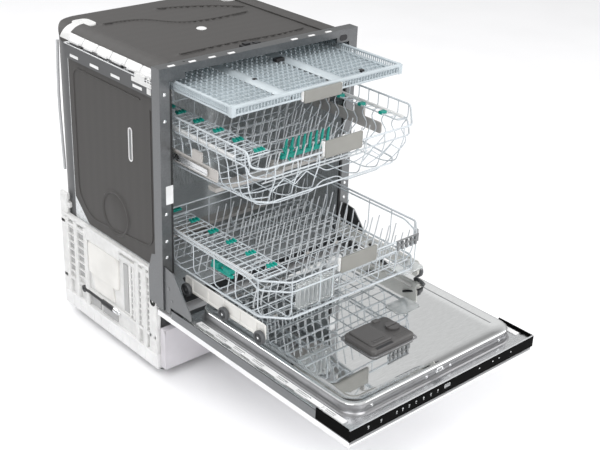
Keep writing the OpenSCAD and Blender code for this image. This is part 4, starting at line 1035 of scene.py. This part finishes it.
def doorStrips():
    # a flat strip whose long slots are left open: two side bars joined by bridges, with a lower middle
    (_, y0, z0), (_, y1, z1) = span("door_edge_strips")
    x0, x1 = door["strip"]
    marks = np.append(y0 + door["bridgeYs"], y1 - door["lastBridge"])
    sides = bars((np.array([x0, x1 - 3]), np.array([x0 + 3, x1])), (y0, y1), (z0, z1))
    bridges = bars((x0, x1), (marks, marks + door["bridgeLengths"]), (z0, z1 - 0.3))
    middleBar = bars((x0 + 6, x1 - 6), (y0, y1), (z0, z1 - 0.6))
    addPiece("door_white_strips", bothSides(merge(sides, bridges, middleBar)), "white",
             "door", "door_edge_strips", bevel=0.4)
    pin = [(0.3, z1 + 0.8), (2.2, z1 + 0.6), (3, z1 - 0.2), (0.3, z1 - 0.3)]
    heads = [turned(pin, ((x0 + x1) / 2, y0 + y, 0), "z", 16) for y in door["pinYs"]]
    addPiece("door_strip_pins", bothSides(merge(*heads)), "chrome", "door")
    side = bars(door["bandX"], (y0 - 6, y1 + 60), door["bandZ"])
    addPiece("door_side_bands", bothSides(side), "frameSteel", "door", bevel=0.4)


pan = {  # outline, corner radius, and the wall's (height, inset) from the flange over the rim into the dish
    "half": 262, "front": -612, "back": -85, "corner": 42, "dishFrom": 10, "profile": [
        (222, -5), (223.5, -1.5), (227, 0), (228, 0.8), (231, 0.8), (232, 0), (243, 0.2), (244, 0.9),
        (245.5, 0.9),
        (246.5, 0.4), (248, 1), (249.6, 2.6), (250, 5), (249.6, 8), (247.5, 14), (243.5, 24), (241.5, 32),
        (241, 40)],
    "screwXs": (38, -38, 205, -205), "screw": [(0.3, -613.6), (2.6, -613.4), (3.6, -612.4), (3.8, -610.8)]}


def doorLiner():
    # the rim follows a rounded rectangle that shrinks by the inset given at each height,
    # its corner radius being the largest of 12 and corner - 0.55 * inset
    (x0, y0, _), (x1, y1, _) = span("door_liner")
    half, front, back, row = pan["half"], pan["front"], pan["back"], pan["dishFrom"]
    steps = [(e, max(pan["corner"] - 0.55 * e, 12)) for _, e in pan["profile"]]
    outlines = shrunk(-half, half, front, back, *steps, sides=9)
    points, faces = layers("z", *zip(outlines, [z for z, _ in pan["profile"]]))
    rows = faces[0].reshape(len(pan["profile"]) - 1, -1, 4)
    # painted shade: wall and dish are one pressing of the same steel; the wall takes the darker copy for the
    # shade on its upright faces
    addPiece("pan_wall", (points, [rows[:row].reshape(-1, 4)]), "panSteelPaintedShade", "door",
             fix=False)
    addPiece("pan_dish", (points, [rows[row:].reshape(-1, 4), faces[2]]), "doorSteel",
             "door", "door_liner", fix=False)
    flange = bars((x0, x1), (y0, y1), (220, 222))
    addPiece("liner_flange", flange, "flangeSteel", "door", bevel=0.8)
    lip = bars((x0 + 2, x1 - 2), (-640, -618), (222, 222.8))
    addPiece("flange_front", lip, "flangeSteel", "door", bevel=0.3)
    # the surround and the side beads take the same darker steel, painted shade
    outline, inner = shrunk(-87, 63, -496, -384, (0, 14), (5, 10))
    ring = layers("z", (outline, 241.0), (outline, 241.6), (inner, 242.0), (inner, 241.0), capEnds=False)
    addPiece("dispenser_surround", ring, "panSteelPaintedShade", "door")
    beads = prism(roundedOutline(238, 246, -560, -330, 3.8), "z", 243.2, 244.4)
    addPiece("pan_side_beads", bothSides(beads), "panSteelPaintedShade", "door", bevel=0.5)
    screws = [turned(pan["screw"], (x, 0, 236), "y", 18) for x in pan["screwXs"]]
    addPiece("pan_screws", merge(*screws), "chrome", "door")
    hook = tubes(fillet([(-9, -615, 240), (-9, -615, 246.5), (9, -615, 246.5), (9, -615, 240)], 3), 1.5)
    catch = merge(bars((-14, 14), (-618, -611), (238, 241)), hook)
    addPiece("door_catch", catch, "chrome", "door", bevel=0.8)


def dispenser():  # a body with a stepped shoulder, raised marks, a slot, and the flap with two grips
    (x0, y0, z0), (x1, y1, top) = span("dispenser_body")
    outer, shoulder, inner = shrunk(x0, x1, y0, y1, (0, 12), (1, 11), (5, 10))
    body = layers("z", (outer, z0), (outer, top - 5), (shoulder, top - 3), (inner, top))
    addPiece("dispenser_shell", body, "dispenser", "door", "dispenser_body", bevel=0.6)
    ys = np.array([-482, -476, -470])
    marks = merge(bars((3, 48), (ys, ys + 2.5), (top - 0.3, top + 0.6)),
                  bars((8, 26), (-404, -392), (top - 0.3, top + 1.6)))
    addPiece("dispenser_marks", marks, "dispenser", "door", bevel=0.5)
    slot = bars((-66, -14), (-487, -480), (top - 2.5, top + 0.15))
    addPiece("dispenser_slot", slot, "black", "door")
    (x0, y0, z0), (x1, y1, top) = span("dispenser_lid")
    outer, inner = shrunk(x0, x1, y0, y1, (0, 6), (2.5, 4))
    lid = layers("z", (outer, z0), (outer, top - 2), (inner, top), (inner, top - 0.3))
    ys = np.array([-468, -462])
    grips = bars((-58, -20), (ys, ys + 2.5), (top - 0.3, top + 0.6))
    addPiece("dispenser_flap", merge(lid, grips), "dispenser", "dispenser_lid",
             "dispenser_lid", bevel=0.5)


signs = {  # places of the marks along the strip; each bar is (x, z, x, z) from the mark's middle
    "z": 216.5, "lift": 0.25, "depth": 0.3, "keyXs": (-243, -206, -160, -142, -122, -101, -78, -55, -33),
    "rightXs": (104, 150, 172, 214), "digitXs": (-9.5, -3, 3.5), "ring": (1.3, 2.1),
    "lines": [(-2, -2, 2, -1.2), (-2, 0.8, 2, 1.6)], "dash": [(-1.4, -5.4, 1.4, -4.6)],
    "dot": [(-1.6, -1, 1.6, 1)],
    "square": [(-1.8, -1.8, -1, 1.8), (1, -1.8, 1.8, 1.8), (-1.8, 1, 1.8, 1.8)],
    "digit": [(-2, -4.4, 2, -3.6), (-2, -0.4, 2, 0.4), (-2, 3.6, 2, 4.4), (-2.4, 0.6, -1.7, 3.6),
              (1.7, 0.6, 2.4, 3.6), (-2.4, -3.6, -1.7, -0.6), (1.7, -3.6, 2.4, -0.6)]}


def controlMarks():
    # small generic symbols: rings, pairs of lines and open squares in turn, dots, and seven-bar digits
    (x0, y0, _), (x1, _, z1) = span("control_panel")
    y, z, depth = y0 - signs["lift"], signs["z"], signs["depth"]

    def drawn(sign, x):  # the bars of a sign moved to x, as thin boxes on the strip
        a, b, c, d = np.array(signs[sign]).T
        return bars((x + a, x + c), (y, y + depth), (z + b, z + d))

    inside, outside = signs["ring"]
    ring = [(inside, y), (outside, y), (outside, y + depth), (inside, y + depth)]
    parts = []
    for k, x in enumerate(signs["keyXs"]):
        parts.append(turned(ring, (x, 0, z), "y",
                            20) if k % 3 == 0 else drawn(("lines", "square")[k % 3 - 1], x))
        parts.append(drawn("dash", x))
    parts += [drawn("dot", x) for x in signs["rightXs"]] + [drawn("digit", x) for x in signs["digitXs"]]
    addPiece("control_marks", merge(*parts), "mark", "door", smooth=False)
    seam = bars((x0, x1), (y0 - 0.1, y0 + 3), (z1 - 0.4, z1 + 0.4))
    addPiece("control_top_edge", seam, "chrome", "door")


doorStrips()
doorLiner()
dispenser()
controlMarks()
print("door done")

studio = {
    "eye": (-1610.7, -1909.2, 1574.2), "turn": 0.7398, "dip": -0.4542, "roll": 0.0412,
     # millimetres and radians
    "focus": 1110.3 / 600, "sensor": 36.0, "farClip": 30, "floorHalf": 8.0, "floorTone": (0.93, 0.93, 0.94),
    "skyStrength": 0.9, "horizon": 0.3,
    "lights": {  # place, aim, size, power
        "key": ((-2.2, -1.4, 3.2), (0, -0.1, 0.4), 2.2, 62), "fill": ((2.8, -1.6, 2.4), (0, 0, 0.4), 2.4, 26),
        "back": ((-0.6, 2.8, 2.6), (0, 0, 0.5), 2.0, 40),
        "front": ((0.1, -3.0, 1.5), (0, 0.2, 0.5), 1.8, 32)}}


def linkObject(name, data, across=None, upright=None, away=None, place=None):
    # a new object whose axes are the columns across, upright and away, standing at the place
    obj = bpy.data.objects.new(name, data)
    bpy.context.scene.collection.objects.link(obj)
    if across is not None:
        matrix = np.eye(4)
        matrix[:3] = np.stack([across, upright, away, place], axis=1)
        obj.matrix_world = Matrix(matrix.tolist())
    return obj


def setCamera():
    # look = (sin turn * cos dip, cos turn * cos dip, sin dip); the roll turns the frame about it
    cam = bpy.data.cameras.new("camera")
    cam.sensor_width = studio["sensor"]
    cam.lens = studio["focus"] * cam.sensor_width
    cam.clip_end = studio["farClip"]
    turn, dip, roll = studio["turn"], studio["dip"], studio["roll"]
    look = np.array([math.sin(turn) * math.cos(dip), math.cos(turn) * math.cos(dip), math.sin(dip)])
    right = np.array([math.cos(turn), -math.sin(turn), 0.0])
    up = np.cross(right, look)
    across = math.cos(roll) * right + math.sin(roll) * up
    upright = -math.sin(roll) * right + math.cos(roll) * up
    bpy.context.scene.camera = linkObject("camera", cam, across, upright, -look, toFrame(studio["eye"]))


def areaLight(name, place, aim, size, power):  # a square light that shines from its place to its aim
    light = bpy.data.lights.new(name, "AREA")
    light.shape = "SQUARE"
    light.size = size
    light.energy = power
    away = np.array(place, float) - np.array(aim, float)
    away /= np.linalg.norm(away)
    side = np.cross([0, 0, 1.0], away)
    side /= np.linalg.norm(side)
    linkObject(name, light, side, np.cross(away, side), away, place)


def setStudio():  # a pale floor, a sky that brightens with height, and four square lights
    mesh = bpy.data.meshes.new("floor")
    e = studio["floorHalf"]
    mesh.from_pydata([(-e, -e, 0), (e, -e, 0), (e, e, 0), (-e, e, 0)], [], [(0, 1, 2, 3)])
    floor = linkObject("floor", mesh)
    mat, nodes, links, shader = newMaterial("pale floor")
    shader.inputs["Roughness"].default_value = 0.75
    tone = studio["floorTone"]
    noise = noiseOn(nodes, links, (1, 1, 1), 3.0, 2.0)
    ramp(nodes, links, noise, shader.inputs["Base Color"], tone, shade(tone, 1.02))
    mesh.materials.append(mat)
    world = bpy.data.worlds.new("sky")
    world.use_nodes = True
    nodes, links = world.node_tree.nodes, world.node_tree.links
    coord = addNode(nodes, "ShaderNodeTexCoord")
    parts = addNode(nodes, "ShaderNodeSeparateXYZ")
    links.new(coord.outputs["Generated"], parts.inputs["Vector"])
    background = nodes["Background"].inputs
    ramp(nodes, links, parts.outputs["Z"], background["Color"], (studio["horizon"],) * 3, (1, 1, 1), 0.0, 0.7)
    background["Strength"].default_value = studio["skyStrength"]
    bpy.context.scene.world = world
    for name, values in studio["lights"].items():
        areaLight(name, *values)
    bpy.context.scene.view_settings.view_transform = "Standard"


setCamera()
setStudio()
print("studio done")
